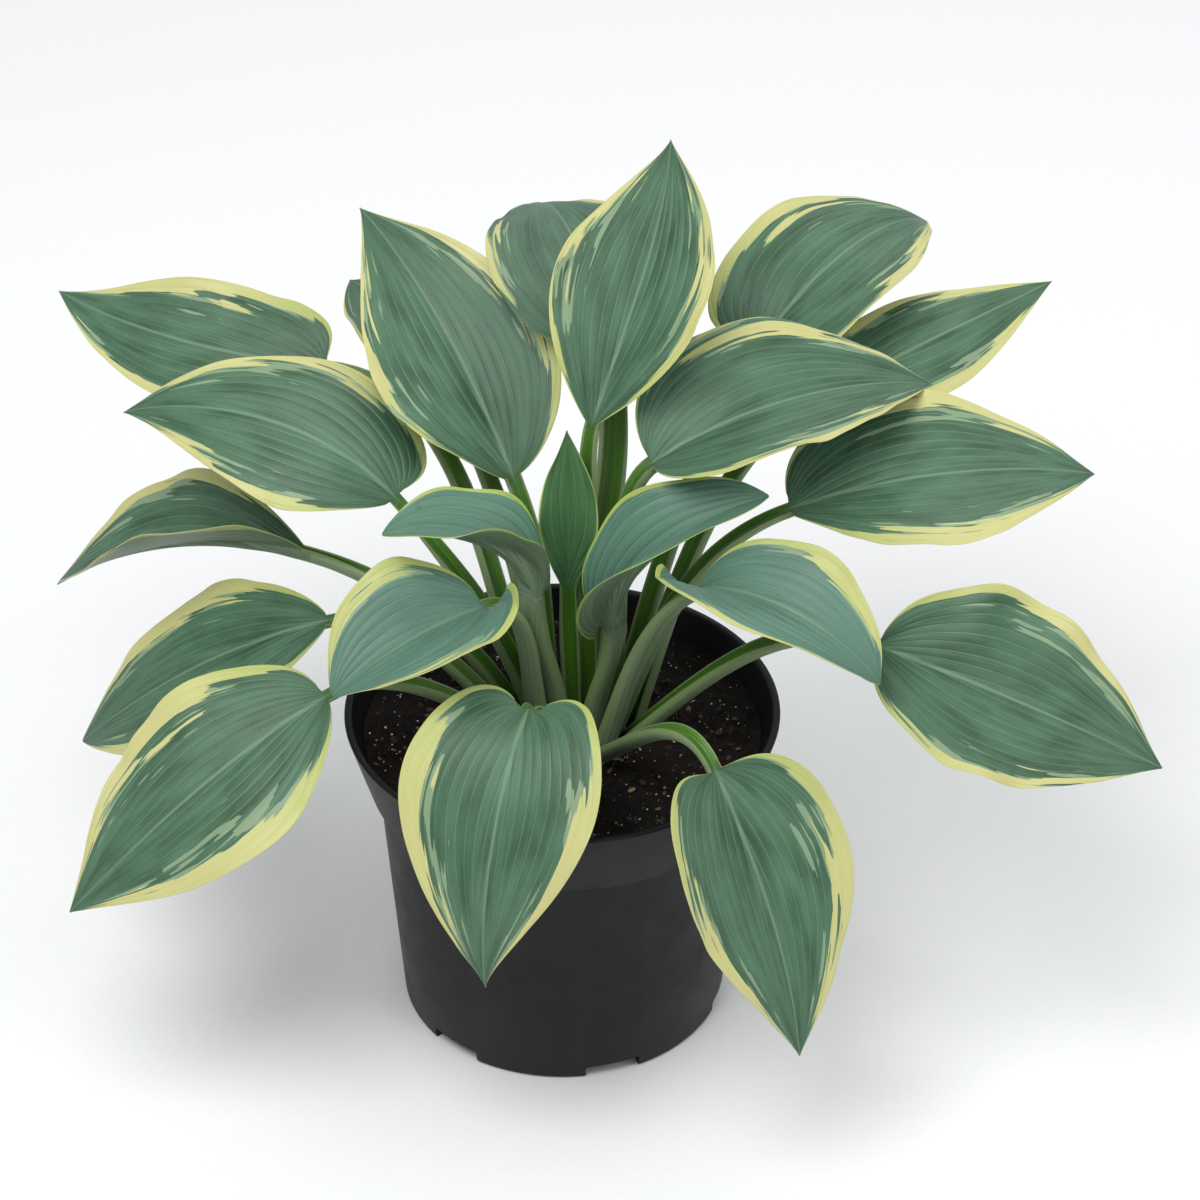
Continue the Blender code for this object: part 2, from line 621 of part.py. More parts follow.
def main():
    for obj in list(bpy.data.objects):
        bpy.data.objects.remove(obj)
    plastic = material("pot_plastic", (0.022, 0.022, 0.023), 0.42)
    earth = material("potting_mix", (0.020, 0.012, 0.008), 0.95)
    green = material("leaf", (0.089, 0.202, 0.138), 0.45)
    make_pot(plastic)
    for leaf in LEAVES:
        make_leaf(leaf, green)
    make_soil(earth, [make_hole_cutter(leaf) for leaf in LEAVES])


if __name__ == "__main__":
    main()
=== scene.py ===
"""Potted hosta: a moulded nursery pot, its potting mix and a clump of veined, cream-edged leaves.

Metres, +Z up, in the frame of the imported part. Each fine piece follows the form of the solid that
it replaces: the pot is turned, the mix is a polar grid, and every leaf is one closed sheet worked
out in vein coordinates, s from -1 in the soil through 0 at the blade's base to 1 at its tip, and v
from -1 at the left margin to 1 at the right.
"""

import logging
from dataclasses import dataclass
from enum import Enum
from itertools import combinations
from math import cos, pi, radians, sin, tau

import bpy
import numpy as np
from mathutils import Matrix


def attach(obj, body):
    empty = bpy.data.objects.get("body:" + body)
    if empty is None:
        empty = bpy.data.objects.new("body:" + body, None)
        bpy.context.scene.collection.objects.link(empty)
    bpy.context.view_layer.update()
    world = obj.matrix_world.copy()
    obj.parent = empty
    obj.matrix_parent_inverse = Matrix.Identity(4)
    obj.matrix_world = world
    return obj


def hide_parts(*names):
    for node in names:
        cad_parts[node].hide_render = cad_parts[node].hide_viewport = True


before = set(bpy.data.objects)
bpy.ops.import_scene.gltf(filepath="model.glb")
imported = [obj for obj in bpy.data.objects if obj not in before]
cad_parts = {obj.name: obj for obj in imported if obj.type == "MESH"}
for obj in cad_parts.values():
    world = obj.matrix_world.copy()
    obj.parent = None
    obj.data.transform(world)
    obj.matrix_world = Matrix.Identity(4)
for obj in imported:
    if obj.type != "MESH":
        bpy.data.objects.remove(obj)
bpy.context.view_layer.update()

LOG = logging.getLogger("potted_hosta")

Array = np.ndarray
Sockets = dict[str, bpy.types.NodeSocket]
UP = np.array((0.0, 0.0, 1.0))
MM_PER_METRE = 1000.0
SOIL_LEVEL = 0.138
LATTICE_SIZE = 256          # corners along a noise lattice's side, past which it repeats


# ---- small helpers ------------------------------------------------------------------------------

def linear(colour: str) -> tuple[float, float, float, float]:
    """Turns an sRGB colour into linear light.

    Args:
        colour: six hex digits, such as "547c68".

    Returns:
        Red, green, blue and an alpha of 1.
    """
    values = np.array([int(colour[place:place + 2], 16) for place in (0, 2, 4)]) / 255
    light = np.where(values <= 0.04045, values / 12.92, ((values + 0.055) / 1.055) ** 2.4)
    return (*(float(value) for value in light), 1.0)


def add_node(tree: bpy.types.NodeTree, kind: str, settings: dict | None = None,
             links: dict | None = None) -> bpy.types.Node:
    """Adds one node with its settings and its links.

    Args:
        tree: the node tree.
        kind: the node's type, without the leading "ShaderNode".
        settings: properties of the node.
        links: for each input, by name or number, the socket that feeds it or its own value.

    Returns:
        The new node.
    """
    node = tree.nodes.new("ShaderNode" + kind)
    for name, value in (settings or {}).items():
        setattr(node, name, value)
    for name, source in (links or {}).items():
        if isinstance(source, bpy.types.NodeSocket):
            tree.links.new(source, node.inputs[name])
        else:
            node.inputs[name].default_value = source
    return node


def new_material(name: str) -> tuple[bpy.types.Material, bpy.types.NodeTree]:
    """Makes an empty node material.

    Args:
        name: the material's name.

    Returns:
        The material and its node tree, with nothing in it.
    """
    made = bpy.data.materials.new(name)
    made.use_nodes = True
    made.node_tree.nodes.clear()
    return made, made.node_tree


def finish_shader(tree: bpy.types.NodeTree, colour: bpy.types.NodeSocket, roughness: object,
                  height: bpy.types.NodeSocket, relief: float, sockets: dict) -> None:
    """Closes a material with one bump, one Principled shader and the output.

    Args:
        tree: the material's node tree.
        colour: the socket with the base colour.
        roughness: the socket or the plain value of the roughness.
        height: the socket with the fine relief, from 0 to 1.
        relief: the height of that relief in metres.
        sockets: plain values for the shader's other inputs.
    """
    bump = add_node(tree, "Bump", links={"Strength": 1.0, "Distance": relief, "Height": height})
    shader = add_node(tree, "BsdfPrincipled", links={
        "Base Color": colour, "Roughness": roughness, "Normal": bump.outputs[0], **sockets})
    add_node(tree, "OutputMaterial", links={"Surface": shader.outputs[0]})


def unit(vectors: Array) -> Array:
    """Vectors divided by their length."""
    return vectors / np.linalg.norm(vectors, axis=-1, keepdims=True)


def smoothstep(t: Array) -> Array:
    """A smooth rise from 0 to 1: 3t squared less 2t cubed, held to that range."""
    t = np.clip(t, 0, 1)
    return t * t * (3 - 2 * t)


def blend(pair: tuple, amount: Array) -> Array:
    """The pair's first value at 0, its second at 1, and a straight line between."""
    return pair[0] + (pair[1] - pair[0]) * amount


def lattice_noise(x: Array, y: Array, cell: float, seed: int) -> Array:
    """Smooth noise in a plane.

    A square lattice of the given cell holds one random number at each corner, and the four round a
    point are blended by a smooth rise in each direction.

    Args:
        x: first coordinates in metres.
        y: second coordinates in metres.
        cell: the lattice's spacing in metres.
        seed: the random numbers' seed.

    Returns:
        Values from -1 to 1, in the shape of x.
    """
    values = np.random.default_rng(seed).uniform(-1, 1, (LATTICE_SIZE, LATTICE_SIZE))
    across, along = x / cell + LATTICE_SIZE / 2, y / cell + LATTICE_SIZE / 2
    column, row = np.floor(across).astype(int), np.floor(along).astype(int)
    right, up = smoothstep(across - column), smoothstep(along - row)
    column, row = column % (LATTICE_SIZE - 1), row % (LATTICE_SIZE - 1)
    low = values[row, column] * (1 - right) + values[row, column + 1] * right
    high = values[row + 1, column] * (1 - right) + values[row + 1, column + 1] * right
    return low * (1 - up) + high * up


def add_piece(name: str, points: Array, faces: list, finish: bpy.types.Material,
              replaced: tuple = ()) -> bpy.types.Object:
    """Makes one finished piece that rides on the plant's only body.

    Args:
        name: the piece's name.
        points: its vertices, in the part's frame.
        faces: its faces, as tuples of vertex numbers that face outwards.
        finish: its material.
        replaced: the CAD nodes that it stands for.

    Returns:
        The new object, smooth shaded, at the origin.
    """
    mesh = bpy.data.meshes.new(name)
    mesh.from_pydata(points.reshape(-1, 3).tolist(), [], faces)
    mesh.shade_smooth()
    mesh.materials.append(finish)
    piece = bpy.data.objects.new(name, mesh)
    bpy.context.scene.collection.objects.link(piece)
    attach(piece, "root")
    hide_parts(*replaced)
    LOG.info("%s: %d vertices, %d faces", name, len(mesh.vertices), len(mesh.polygons))
    return piece


def store(piece: bpy.types.Object, name: str, values: Array) -> None:
    """Keeps a value or a vector on each vertex, for the piece's material.

    Args:
        piece: the object.
        name: the attribute's name.
        values: one number, or a row of three numbers, for each vertex.
    """
    kind, field = ("FLOAT", "value") if values.ndim == 1 else ("FLOAT_VECTOR", "vector")
    attribute = piece.data.attributes.new(name, kind, "POINT")
    attribute.data.foreach_set(field, values.astype(np.float32).ravel())


def grid_faces(rows: int, columns: int, closed: bool) -> list:
    """Quads between neighbouring rows and columns of a grid of vertices.

    Args:
        rows: the number of rows.
        columns: the number of vertices in a row.
        closed: whether each row runs round and joins its own start.

    Returns:
        Tuples of four vertex numbers.
    """
    row, column = np.meshgrid(np.arange(rows - 1), np.arange(columns - (not closed)), indexing="ij")
    after = (column + 1) % columns
    near, far = row * columns, (row + 1) * columns
    quads = np.stack([near + column, near + after, far + after, far + column], axis=-1)
    return [tuple(quad) for quad in quads.reshape(-1, 4).tolist()]


def turned_surface(profile: Array, sides: int) -> tuple[Array, list]:
    """A closed surface of revolution about +Z.

    Each point of the profile, a radius and a height, is carried round the axis in equal steps. The
    profile starts on the axis inside or above and ends on it below, so it runs outwards first.

    Args:
        profile: rows of radius and height, the first and the last of them on the axis.
        sides: the number of steps round the axis.

    Returns:
        The vertices, and the faces with a fan at each pole.
    """
    turn = np.arange(sides) * tau / sides
    radius, height = profile[1:-1, 0, None], profile[1:-1, 1, None]
    rings = np.stack([radius * np.cos(turn), radius * np.sin(turn), height + 0 * turn], axis=-1)
    count = len(rings) * sides
    points = np.concatenate([rings.reshape(-1, 3), [[0, 0, profile[0, 1]], [0, 0, profile[-1, 1]]]])
    faces = [face[::-1] for face in grid_faces(len(rings), sides, True)]
    after = [(side + 1) % sides for side in range(sides)]
    faces += [(count, side, after[side]) for side in range(sides)]
    last = count - sides
    faces += [(count + 1, last + after[side], last + side) for side in range(sides)]
    return points, faces


def rounded_profile(corners: tuple, steps: int) -> Array:
    """A profile with its corners rounded.

    A corner that has a round is swapped for the curve that starts and ends that far from it along
    its two sides and is drawn towards it: (1-t) squared of the start, 2t(1-t) of the corner and t
    squared of the end.

    Args:
        corners: radius, height and round of each corner in metres.
        steps: the number of points along a round.

    Returns:
        Rows of radius and height.
    """
    places = np.array([corner[:2] for corner in corners], float)
    made = [places[:1]]
    for index in range(1, len(corners) - 1):
        here, size = places[index], corners[index][2]
        if size == 0:
            made.append(here[None])
            continue
        start = here + unit(places[index - 1] - here) * size
        end = here + unit(places[index + 1] - here) * size
        t = np.linspace(0, 1, steps)[:, None]
        made.append((1 - t) ** 2 * start + 2 * t * (1 - t) * here + t ** 2 * end)
    made.append(places[-1:])
    return np.concatenate(made)


# ---- finishes -----------------------------------------------------------------------------------

@dataclass(frozen=True)
class MouldedPolypropylene:
    """Black recycled polypropylene, injection moulded in a lightly etched tool.

    The etched tool gives a satin skin: broad soft highlights, a very fine grain, faint flow marks
    down the wall and a little dried dust low down.
    """

    colour: str = "0b0b0c"
    flow: str = "101011"
    dust: str = "4a4640"
    roughness: tuple = (0.40, 0.54)
    grain: float = 0.0007       # the etched grain, drawn coarser than life so that it shows
    mottle: float = 0.018
    flow_width: float = 0.010
    flow_length: float = 0.25
    dust_height: float = 0.045
    dust_amount: float = 0.34
    relief: float = 0.00003

    def make(self) -> bpy.types.Material:
        """Builds the material.

        Returns:
            The finished material.
        """
        made, tree = new_material("moulded_polypropylene")
        place = add_node(tree, "TexCoord").outputs["Object"]
        grain = add_node(tree, "TexNoise", links={
            "Vector": place, "Scale": 1 / self.grain, "Detail": 2.0, "Roughness": 0.6})
        mottle = add_node(tree, "TexNoise", links={
            "Vector": place, "Scale": 1 / self.mottle, "Detail": 4.0, "Roughness": 0.55})
        drawn = add_node(tree, "Mapping", links={
            "Vector": place,
            "Scale": (1 / self.flow_width, 1 / self.flow_width, 1 / self.flow_length)})
        flow = add_node(tree, "TexNoise", links={
            "Vector": drawn.outputs[0], "Scale": 1.0, "Detail": 3.0, "Roughness": 0.5})
        streaks = add_node(tree, "MapRange", links={
            "Value": flow.outputs[0], "From Min": 0.42, "From Max": 0.72, "To Max": 0.8})
        colour = add_node(tree, "Mix", {"data_type": "RGBA"}, {
            "Factor": streaks.outputs[0], 6: linear(self.colour), 7: linear(self.flow)})
        height = add_node(tree, "SeparateXYZ", links={0: place})
        low = add_node(tree, "MapRange", links={
            "Value": height.outputs["Z"], "From Min": self.dust_height, "From Max": 0.0,
            "To Max": self.dust_amount})
        dusty = add_node(tree, "Math", {"operation": "MULTIPLY"}, {
            0: low.outputs[0], 1: mottle.outputs[0]})
        dusted = add_node(tree, "Mix", {"data_type": "RGBA"}, {
            "Factor": dusty.outputs[0], 6: colour.outputs[2], 7: linear(self.dust)})
        rough = add_node(tree, "MapRange", links={
            "Value": mottle.outputs[0], "From Min": 0.3, "From Max": 0.7,
            "To Min": self.roughness[0], "To Max": self.roughness[1]})
        finish_shader(tree, dusted.outputs[2], rough.outputs[0], grain.outputs[0], self.relief,
                      {"IOR": 1.49, "Specular IOR Level": 0.25})
        return made


@dataclass(frozen=True)
class PeatMix:
    """Moist peat and composted bark, milled: nearly black, matt, with brown crumbs."""

    wet: str = "080504"
    brown: str = "1e140d"
    crumb: float = 0.0016
    clump: float = 0.007
    relief: float = 0.0008

    def make(self) -> bpy.types.Material:
        """Builds the material.

        Returns:
            The finished material.
        """
        made, tree = new_material("moist_peat_mix")
        place = add_node(tree, "TexCoord").outputs["Object"]
        crumb = add_node(tree, "TexNoise", links={
            "Vector": place, "Scale": 1 / self.crumb, "Detail": 4.0, "Roughness": 0.65})
        clump = add_node(tree, "TexNoise", links={
            "Vector": place, "Scale": 1 / self.clump, "Detail": 3.0, "Roughness": 0.6})
        both = add_node(tree, "Math", {"operation": "MULTIPLY"}, {
            0: crumb.outputs[0], 1: clump.outputs[0]})
        share = add_node(tree, "MapRange", links={
            "Value": both.outputs[0], "From Min": 0.22, "From Max": 0.42})
        colour = add_node(tree, "Mix", {"data_type": "RGBA"}, {
            "Factor": share.outputs[0], 6: linear(self.wet), 7: linear(self.brown)})
        rough = add_node(tree, "MapRange", links={
            "Value": crumb.outputs[0], "To Min": 0.95, "To Max": 0.75})
        finish_shader(tree, colour.outputs[2], rough.outputs[0], crumb.outputs[0], self.relief,
                      {"IOR": 1.4, "Specular IOR Level": 0.3})
        return made


@dataclass(frozen=True)
class BrokenGrain:
    """A loose ingredient of the mix, crushed and sieved, each grain in a tone of its own."""

    name: str
    tones: tuple
    grain: float
    relief: float
    roughness: float

    def make(self) -> bpy.types.Material:
        """Builds the material.

        Returns:
            The finished material.
        """
        made, tree = new_material(self.name)
        place = add_node(tree, "TexCoord").outputs["Object"]
        tone = add_node(tree, "Attribute", {"attribute_name": "tone"})
        noise = add_node(tree, "TexNoise", links={
            "Vector": place, "Scale": 1 / self.grain, "Detail": 3.0, "Roughness": 0.6})
        shade = add_node(tree, "MapRange", links={
            "Value": noise.outputs[0], "From Min": 0.3, "From Max": 0.7, "To Min": -0.12,
            "To Max": 0.12})
        place_on_ramp = add_node(tree, "Math", {"operation": "ADD", "use_clamp": True}, {
            0: tone.outputs["Fac"], 1: shade.outputs[0]})
        ramp = add_node(tree, "ValToRGB", links={0: place_on_ramp.outputs[0]})
        stops = ramp.color_ramp.elements
        while len(stops) < len(self.tones):
            stops.new(0.5)
        for index, tone_colour in enumerate(self.tones):
            stops[index].position = index / (len(self.tones) - 1)
            stops[index].color = linear(tone_colour)
        finish_shader(tree, ramp.outputs[0], self.roughness, noise.outputs[0], self.relief, {})
        return made


@dataclass(frozen=True)
class HostaTissue:
    """A living hosta leaf: blue-green with a waxy bloom, pale parallel veins and cream margins.

    The green and cream tissues meet in streaks that run along the veins, with pale patches where
    only one of the leaf's layers is green. The bloom gives a soft, slightly blue sheen. All
    patterns follow the attributes that the leaf's own surface carries, in millimetres along and
    across the veins.
    """

    deep: str = "2f4d32"
    green: str = "486c4c"
    blue: str = "5b8072"
    fresh: str = "417036"
    vein: str = "688969"
    midrib: str = "708c6f"
    cream: str = "c7c085"
    lime: str = "96ad51"
    patch: str = "8aa07e"
    under: str = "6f856c"
    under_stripe: str = "4c6241"
    groove: str = "4c791c"
    groove_deep: str = "2f5611"
    stalk: str = "798c6a"
    stalk_edge: str = "758a5a"
    blemish: str = "2c4629"
    sheen: str = "dfeaf0"
    bloom_clouds: float = 0.20      # how far the clouds make the green bluer
    young_lime: float = 0.8         # how lime the cream of a smooth-edged young leaf is
    lime_streaks: float = 0.35
    back_margin: float = 0.75       # how strongly the cream shows through on the underside
    stalk_stripes: float = 0.5
    fibre_relief: float = 0.5       # the fibres' relief to the veins'
    roughness: tuple = (0.38, 0.50)
    relief: float = 0.00012
    streaks: tuple = (
        # name, length along the veins and breadth across them in millimetres, detail
        ("finger", 26.0, 1.9, 2.0),
        ("sector", 42.0, 5.0, 1.0),
        ("patch", 34.0, 3.4, 2.0),
        ("fibre", 60.0, 0.42, 2.0),
        ("cloud", 26.0, 9.0, 4.0),
        ("fleck", 2.4, 1.8, 2.0),
    )
    streak_shift: tuple = (7.3, 3.1)    # sets each noise apart from the one before it

    def read_leaf(self, tree: bpy.types.NodeTree) -> Sockets:
        """Reads the attributes that the leaf's surface carries, and draws the noises along its veins.

        Args:
            tree: the material's node tree.

        Returns:
            The sockets by name.
        """
        read = {name: add_node(tree, "Attribute", {"attribute_name": name}) for name in (
            "vein_flow", "vein_number", "margin_depth", "midrib", "stalk_rim", "zone", "trait")}
        on = {name: read[name].outputs["Fac"]
              for name in ("vein_number", "margin_depth", "midrib", "stalk_rim")}
        zone = add_node(tree, "SeparateXYZ", links={0: read["zone"].outputs["Vector"]})
        on.update(zip(("stalk", "under", "along"), zone.outputs))
        trait = add_node(tree, "SeparateXYZ", links={0: read["trait"].outputs["Vector"]})
        on.update(zip(("youth", "freshness", "raggedness"), trait.outputs))
        for index, (name, length, breadth, detail) in enumerate(self.streaks):
            drawn = add_node(tree, "Mapping", links={
                "Vector": read["vein_flow"].outputs["Vector"],
                "Scale": (1 / length, 1 / breadth, 1.0),
                "Location": (index * self.streak_shift[0], index * self.streak_shift[1], 0.0)})
            on[name] = add_node(tree, "TexNoise", links={
                "Vector": drawn.outputs[0], "Scale": 1.0, "Detail": detail}).outputs[0]
        return on

    def find_margin(self, tree: bpy.types.NodeTree, on: Sockets) -> None:
        """Moves the margin's smooth line in and out by the streaks, and adds the pale patches.

        Args:
            tree: the material's node tree.
            on: the leaf's sockets, which gain margin and pale.
        """
        fingers = add_node(tree, "MapRange", links={
            "Value": on["finger"], "From Min": 0.25, "From Max": 0.75, "To Min": -0.09,
            "To Max": 0.09})
        sectors = add_node(tree, "MapRange", links={
            "Value": on["sector"], "From Min": 0.28, "From Max": 0.72, "To Min": -0.15,
            "To Max": 0.15})
        jagged = add_node(tree, "Math", {"operation": "ADD"}, {
            0: fingers.outputs[0], 1: sectors.outputs[0]})
        amount = add_node(tree, "MapRange", {"interpolation_type": "SMOOTHSTEP"}, {
            "Value": on["along"], "From Min": 0.02, "From Max": 0.35, "To Min": 0.1, "To Max": 1.0})
        held = add_node(tree, "Math", {"operation": "MULTIPLY"}, {
            0: amount.outputs[0], 1: on["raggedness"]})
        edge = add_node(tree, "Math", {"operation": "MULTIPLY_ADD"}, {
            0: jagged.outputs[0], 1: held.outputs[0], 2: on["margin_depth"]})
        on["margin"] = add_node(tree, "MapRange", {"interpolation_type": "SMOOTHSTEP"}, {
            "Value": edge.outputs[0], "From Min": -0.006, "From Max": 0.010}).outputs[0]
        patches = add_node(tree, "MapRange", links={
            "Value": on["patch"], "From Min": 0.46, "From Max": 0.70, "To Max": 0.30})
        patch_held = add_node(tree, "Math", {"operation": "MULTIPLY_ADD"}, {
            0: patches.outputs[0], 1: held.outputs[0], 2: edge.outputs[0]})
        on["pale"] = add_node(tree, "MapRange", {"interpolation_type": "SMOOTHSTEP"}, {
            "Value": patch_held.outputs[0], "From Min": 0.0, "From Max": 0.02,
            "To Max": 0.75}).outputs[0]

    def colour_green(self, tree: bpy.types.NodeTree, on: Sockets) -> bpy.types.NodeSocket:
        """The green tissue: cloudy from deep to blue, finely striped, with pale veins.

        Args:
            tree: the material's node tree.
            on: the leaf's sockets, which gain wave, the distance from the nearest vein.

        Returns:
            Its colour.
        """
        cloudy = add_node(tree, "MapRange", links={
            "Value": on["cloud"], "From Min": 0.3, "From Max": 0.7})
        bloom = add_node(tree, "Math", {"operation": "MULTIPLY_ADD", "use_clamp": True}, {
            0: cloudy.outputs[0], 1: self.bloom_clouds, 2: on["youth"]})
        shades = add_node(tree, "Mix", {"data_type": "RGBA"}, {
            "Factor": cloudy.outputs[0], 6: linear(self.deep), 7: linear(self.green)})
        bluish = add_node(tree, "Mix", {"data_type": "RGBA"}, {
            "Factor": bloom.outputs[0], 6: shades.outputs[2], 7: linear(self.blue)})
        young = add_node(tree, "Mix", {"data_type": "RGBA"}, {
            "Factor": on["freshness"], 6: bluish.outputs[2], 7: linear(self.fresh)})
        stripe = add_node(tree, "MapRange", links={
            "Value": on["fibre"], "From Min": 0.3, "From Max": 0.7, "To Min": 0.83,
            "To Max": 1.15})
        striped = add_node(tree, "Mix", {"data_type": "RGBA", "blend_type": "MULTIPLY"}, {
            "Factor": 1.0, 6: young.outputs[2], 7: stripe.outputs[0]})
        on["wave"] = add_node(tree, "Math", {"operation": "PINGPONG"}, {
            0: on["vein_number"], 1: 0.5}).outputs[0]
        line = add_node(tree, "MapRange", {"interpolation_type": "SMOOTHSTEP"}, {
            "Value": on["wave"], "From Min": 0.08, "From Max": 0.01, "To Max": 0.46})
        flecks = add_node(tree, "MapRange", links={
            "Value": on["fleck"], "From Min": 0.70, "From Max": 0.76, "To Max": 0.55})
        colour = striped.outputs[2]
        for share, tone in ((line.outputs[0], self.vein), (on["midrib"], self.midrib),
                            (flecks.outputs[0], self.blemish), (on["pale"], self.patch)):
            colour = add_node(tree, "Mix", {"data_type": "RGBA"}, {
                "Factor": share, 6: colour, 7: linear(tone)}).outputs[2]
        return colour

    def colour_cream(self, tree: bpy.types.NodeTree, on: Sockets) -> bpy.types.NodeSocket:
        """The cream tissue, limier near the base and on a young leaf.

        Args:
            tree: the material's node tree.
            on: the leaf's sockets.

        Returns:
            Its colour.
        """
        base = add_node(tree, "MapRange", links={
            "Value": on["along"], "From Min": 0.45, "From Max": 0.0, "To Max": 0.55})
        young_edge = add_node(tree, "Math", {"operation": "MULTIPLY_ADD"}, {
            0: on["raggedness"], 1: -self.young_lime, 2: self.young_lime})
        lime_share = add_node(tree, "Math", {"operation": "ADD"}, {
            0: base.outputs[0], 1: young_edge.outputs[0]})
        limy = add_node(tree, "Math", {"operation": "MULTIPLY_ADD", "use_clamp": True}, {
            0: on["fibre"], 1: self.lime_streaks, 2: lime_share.outputs[0]})
        return add_node(tree, "Mix", {"data_type": "RGBA"}, {
            "Factor": limy.outputs[0], 6: linear(self.cream), 7: linear(self.lime)}).outputs[2]

    def colour_back(self, tree: bpy.types.NodeTree, on: Sockets,
                    cream: bpy.types.NodeSocket) -> bpy.types.NodeSocket:
        """The paler underside, with green stripes between its veins.

        Args:
            tree: the material's node tree.
            on: the leaf's sockets, which gain stripes.
            cream: the cream tissue's colour.

        Returns:
            Its colour.
        """
        on["stripes"] = add_node(tree, "MapRange", links={
            "Value": on["fibre"], "From Min": 0.38, "From Max": 0.62}).outputs[0]
        back = add_node(tree, "Mix", {"data_type": "RGBA"}, {
            "Factor": on["stripes"], 6: linear(self.under), 7: linear(self.under_stripe)})
        faint = add_node(tree, "Math", {"operation": "MULTIPLY"}, {
            0: on["margin"], 1: self.back_margin})
        return add_node(tree, "Mix", {"data_type": "RGBA"}, {
            "Factor": faint.outputs[0], 6: back.outputs[2], 7: cream}).outputs[2]

    def colour_petiole(self, tree: bpy.types.NodeTree, on: Sockets) -> bpy.types.NodeSocket:
        """The petiole: a green groove, a grey-green striped back and a pale line along each rim.

        Args:
            tree: the material's node tree.
            on: the leaf's sockets.

        Returns:
            Its colour.
        """
        grooves = add_node(tree, "MapRange", links={
            "Value": on["fibre"], "From Min": 0.35, "From Max": 0.65})
        groove = add_node(tree, "Mix", {"data_type": "RGBA"}, {
            "Factor": grooves.outputs[0], 6: linear(self.groove_deep), 7: linear(self.groove)})
        softened = add_node(tree, "Math", {"operation": "MULTIPLY"}, {
            0: on["stripes"], 1: self.stalk_stripes})
        stem_back = add_node(tree, "Mix", {"data_type": "RGBA"}, {
            "Factor": softened.outputs[0], 6: linear(self.stalk), 7: linear(self.under_stripe)})
        stem = add_node(tree, "Mix", {"data_type": "RGBA"}, {
            "Factor": on["under"], 6: groove.outputs[2], 7: stem_back.outputs[2]})
        return add_node(tree, "Mix", {"data_type": "RGBA"}, {
            "Factor": on["stalk_rim"], 6: stem.outputs[2], 7: linear(self.stalk_edge)}).outputs[2]

    def make(self) -> bpy.types.Material:
        """Builds the material.

        Returns:
            The finished material.
        """
        made, tree = new_material("hosta_leaf_tissue")
        on = self.read_leaf(tree)
        self.find_margin(tree, on)
        green, cream = self.colour_green(tree, on), self.colour_cream(tree, on)
        blade = add_node(tree, "Mix", {"data_type": "RGBA"}, {
            "Factor": on["margin"], 6: green, 7: cream})
        both_sides = add_node(tree, "Mix", {"data_type": "RGBA"}, {
            "Factor": on["under"], 6: blade.outputs[2], 7: self.colour_back(tree, on, cream)})
        whole = add_node(tree, "Mix", {"data_type": "RGBA"}, {
            "Factor": on["stalk"], 6: both_sides.outputs[2], 7: self.colour_petiole(tree, on)})
        rough = add_node(tree, "MapRange", links={
            "Value": on["cloud"], "From Min": 0.3, "From Max": 0.7,
            "To Min": self.roughness[0], "To Max": self.roughness[1]})
        sunk = add_node(tree, "MapRange", {"interpolation_type": "SMOOTHSTEP"}, {
            "Value": on["wave"], "From Min": 0.0, "From Max": 0.16})
        height = add_node(tree, "Math", {"operation": "MULTIPLY_ADD"}, {
            0: on["fibre"], 1: self.fibre_relief, 2: sunk.outputs[0]})
        finish_shader(tree, whole.outputs[2], rough.outputs[0], height.outputs[0], self.relief, {
            "IOR": 1.42, "Sheen Weight": 0.10, "Sheen Roughness": 0.45,
            "Sheen Tint": linear(self.sheen)})
        return made


@dataclass(frozen=True)
class MattPaint:
    """Matt white wall paint, rolled: the studio floor, with a hardly visible roller texture."""

    colour: str = "f4f4f4"
    shade: str = "f0f0f0"
    stipple: float = 0.004
    relief: float = 0.00002

    def make(self) -> bpy.types.Material:
        """Builds the material.

        Returns:
            The finished material.
        """
        made, tree = new_material("matt_white_paint")
        place = add_node(tree, "TexCoord").outputs["Object"]
        noise = add_node(tree, "TexNoise", links={"Vector": place, "Scale": 1 / self.stipple})
        colour = add_node(tree, "Mix", {"data_type": "RGBA"}, {
            "Factor": noise.outputs[0], 6: linear(self.colour), 7: linear(self.shade)})
        finish_shader(tree, colour.outputs[2], 0.9, noise.outputs[0], self.relief, {})
        return made


# ---- the pot ------------------------------------------------------------------------------------

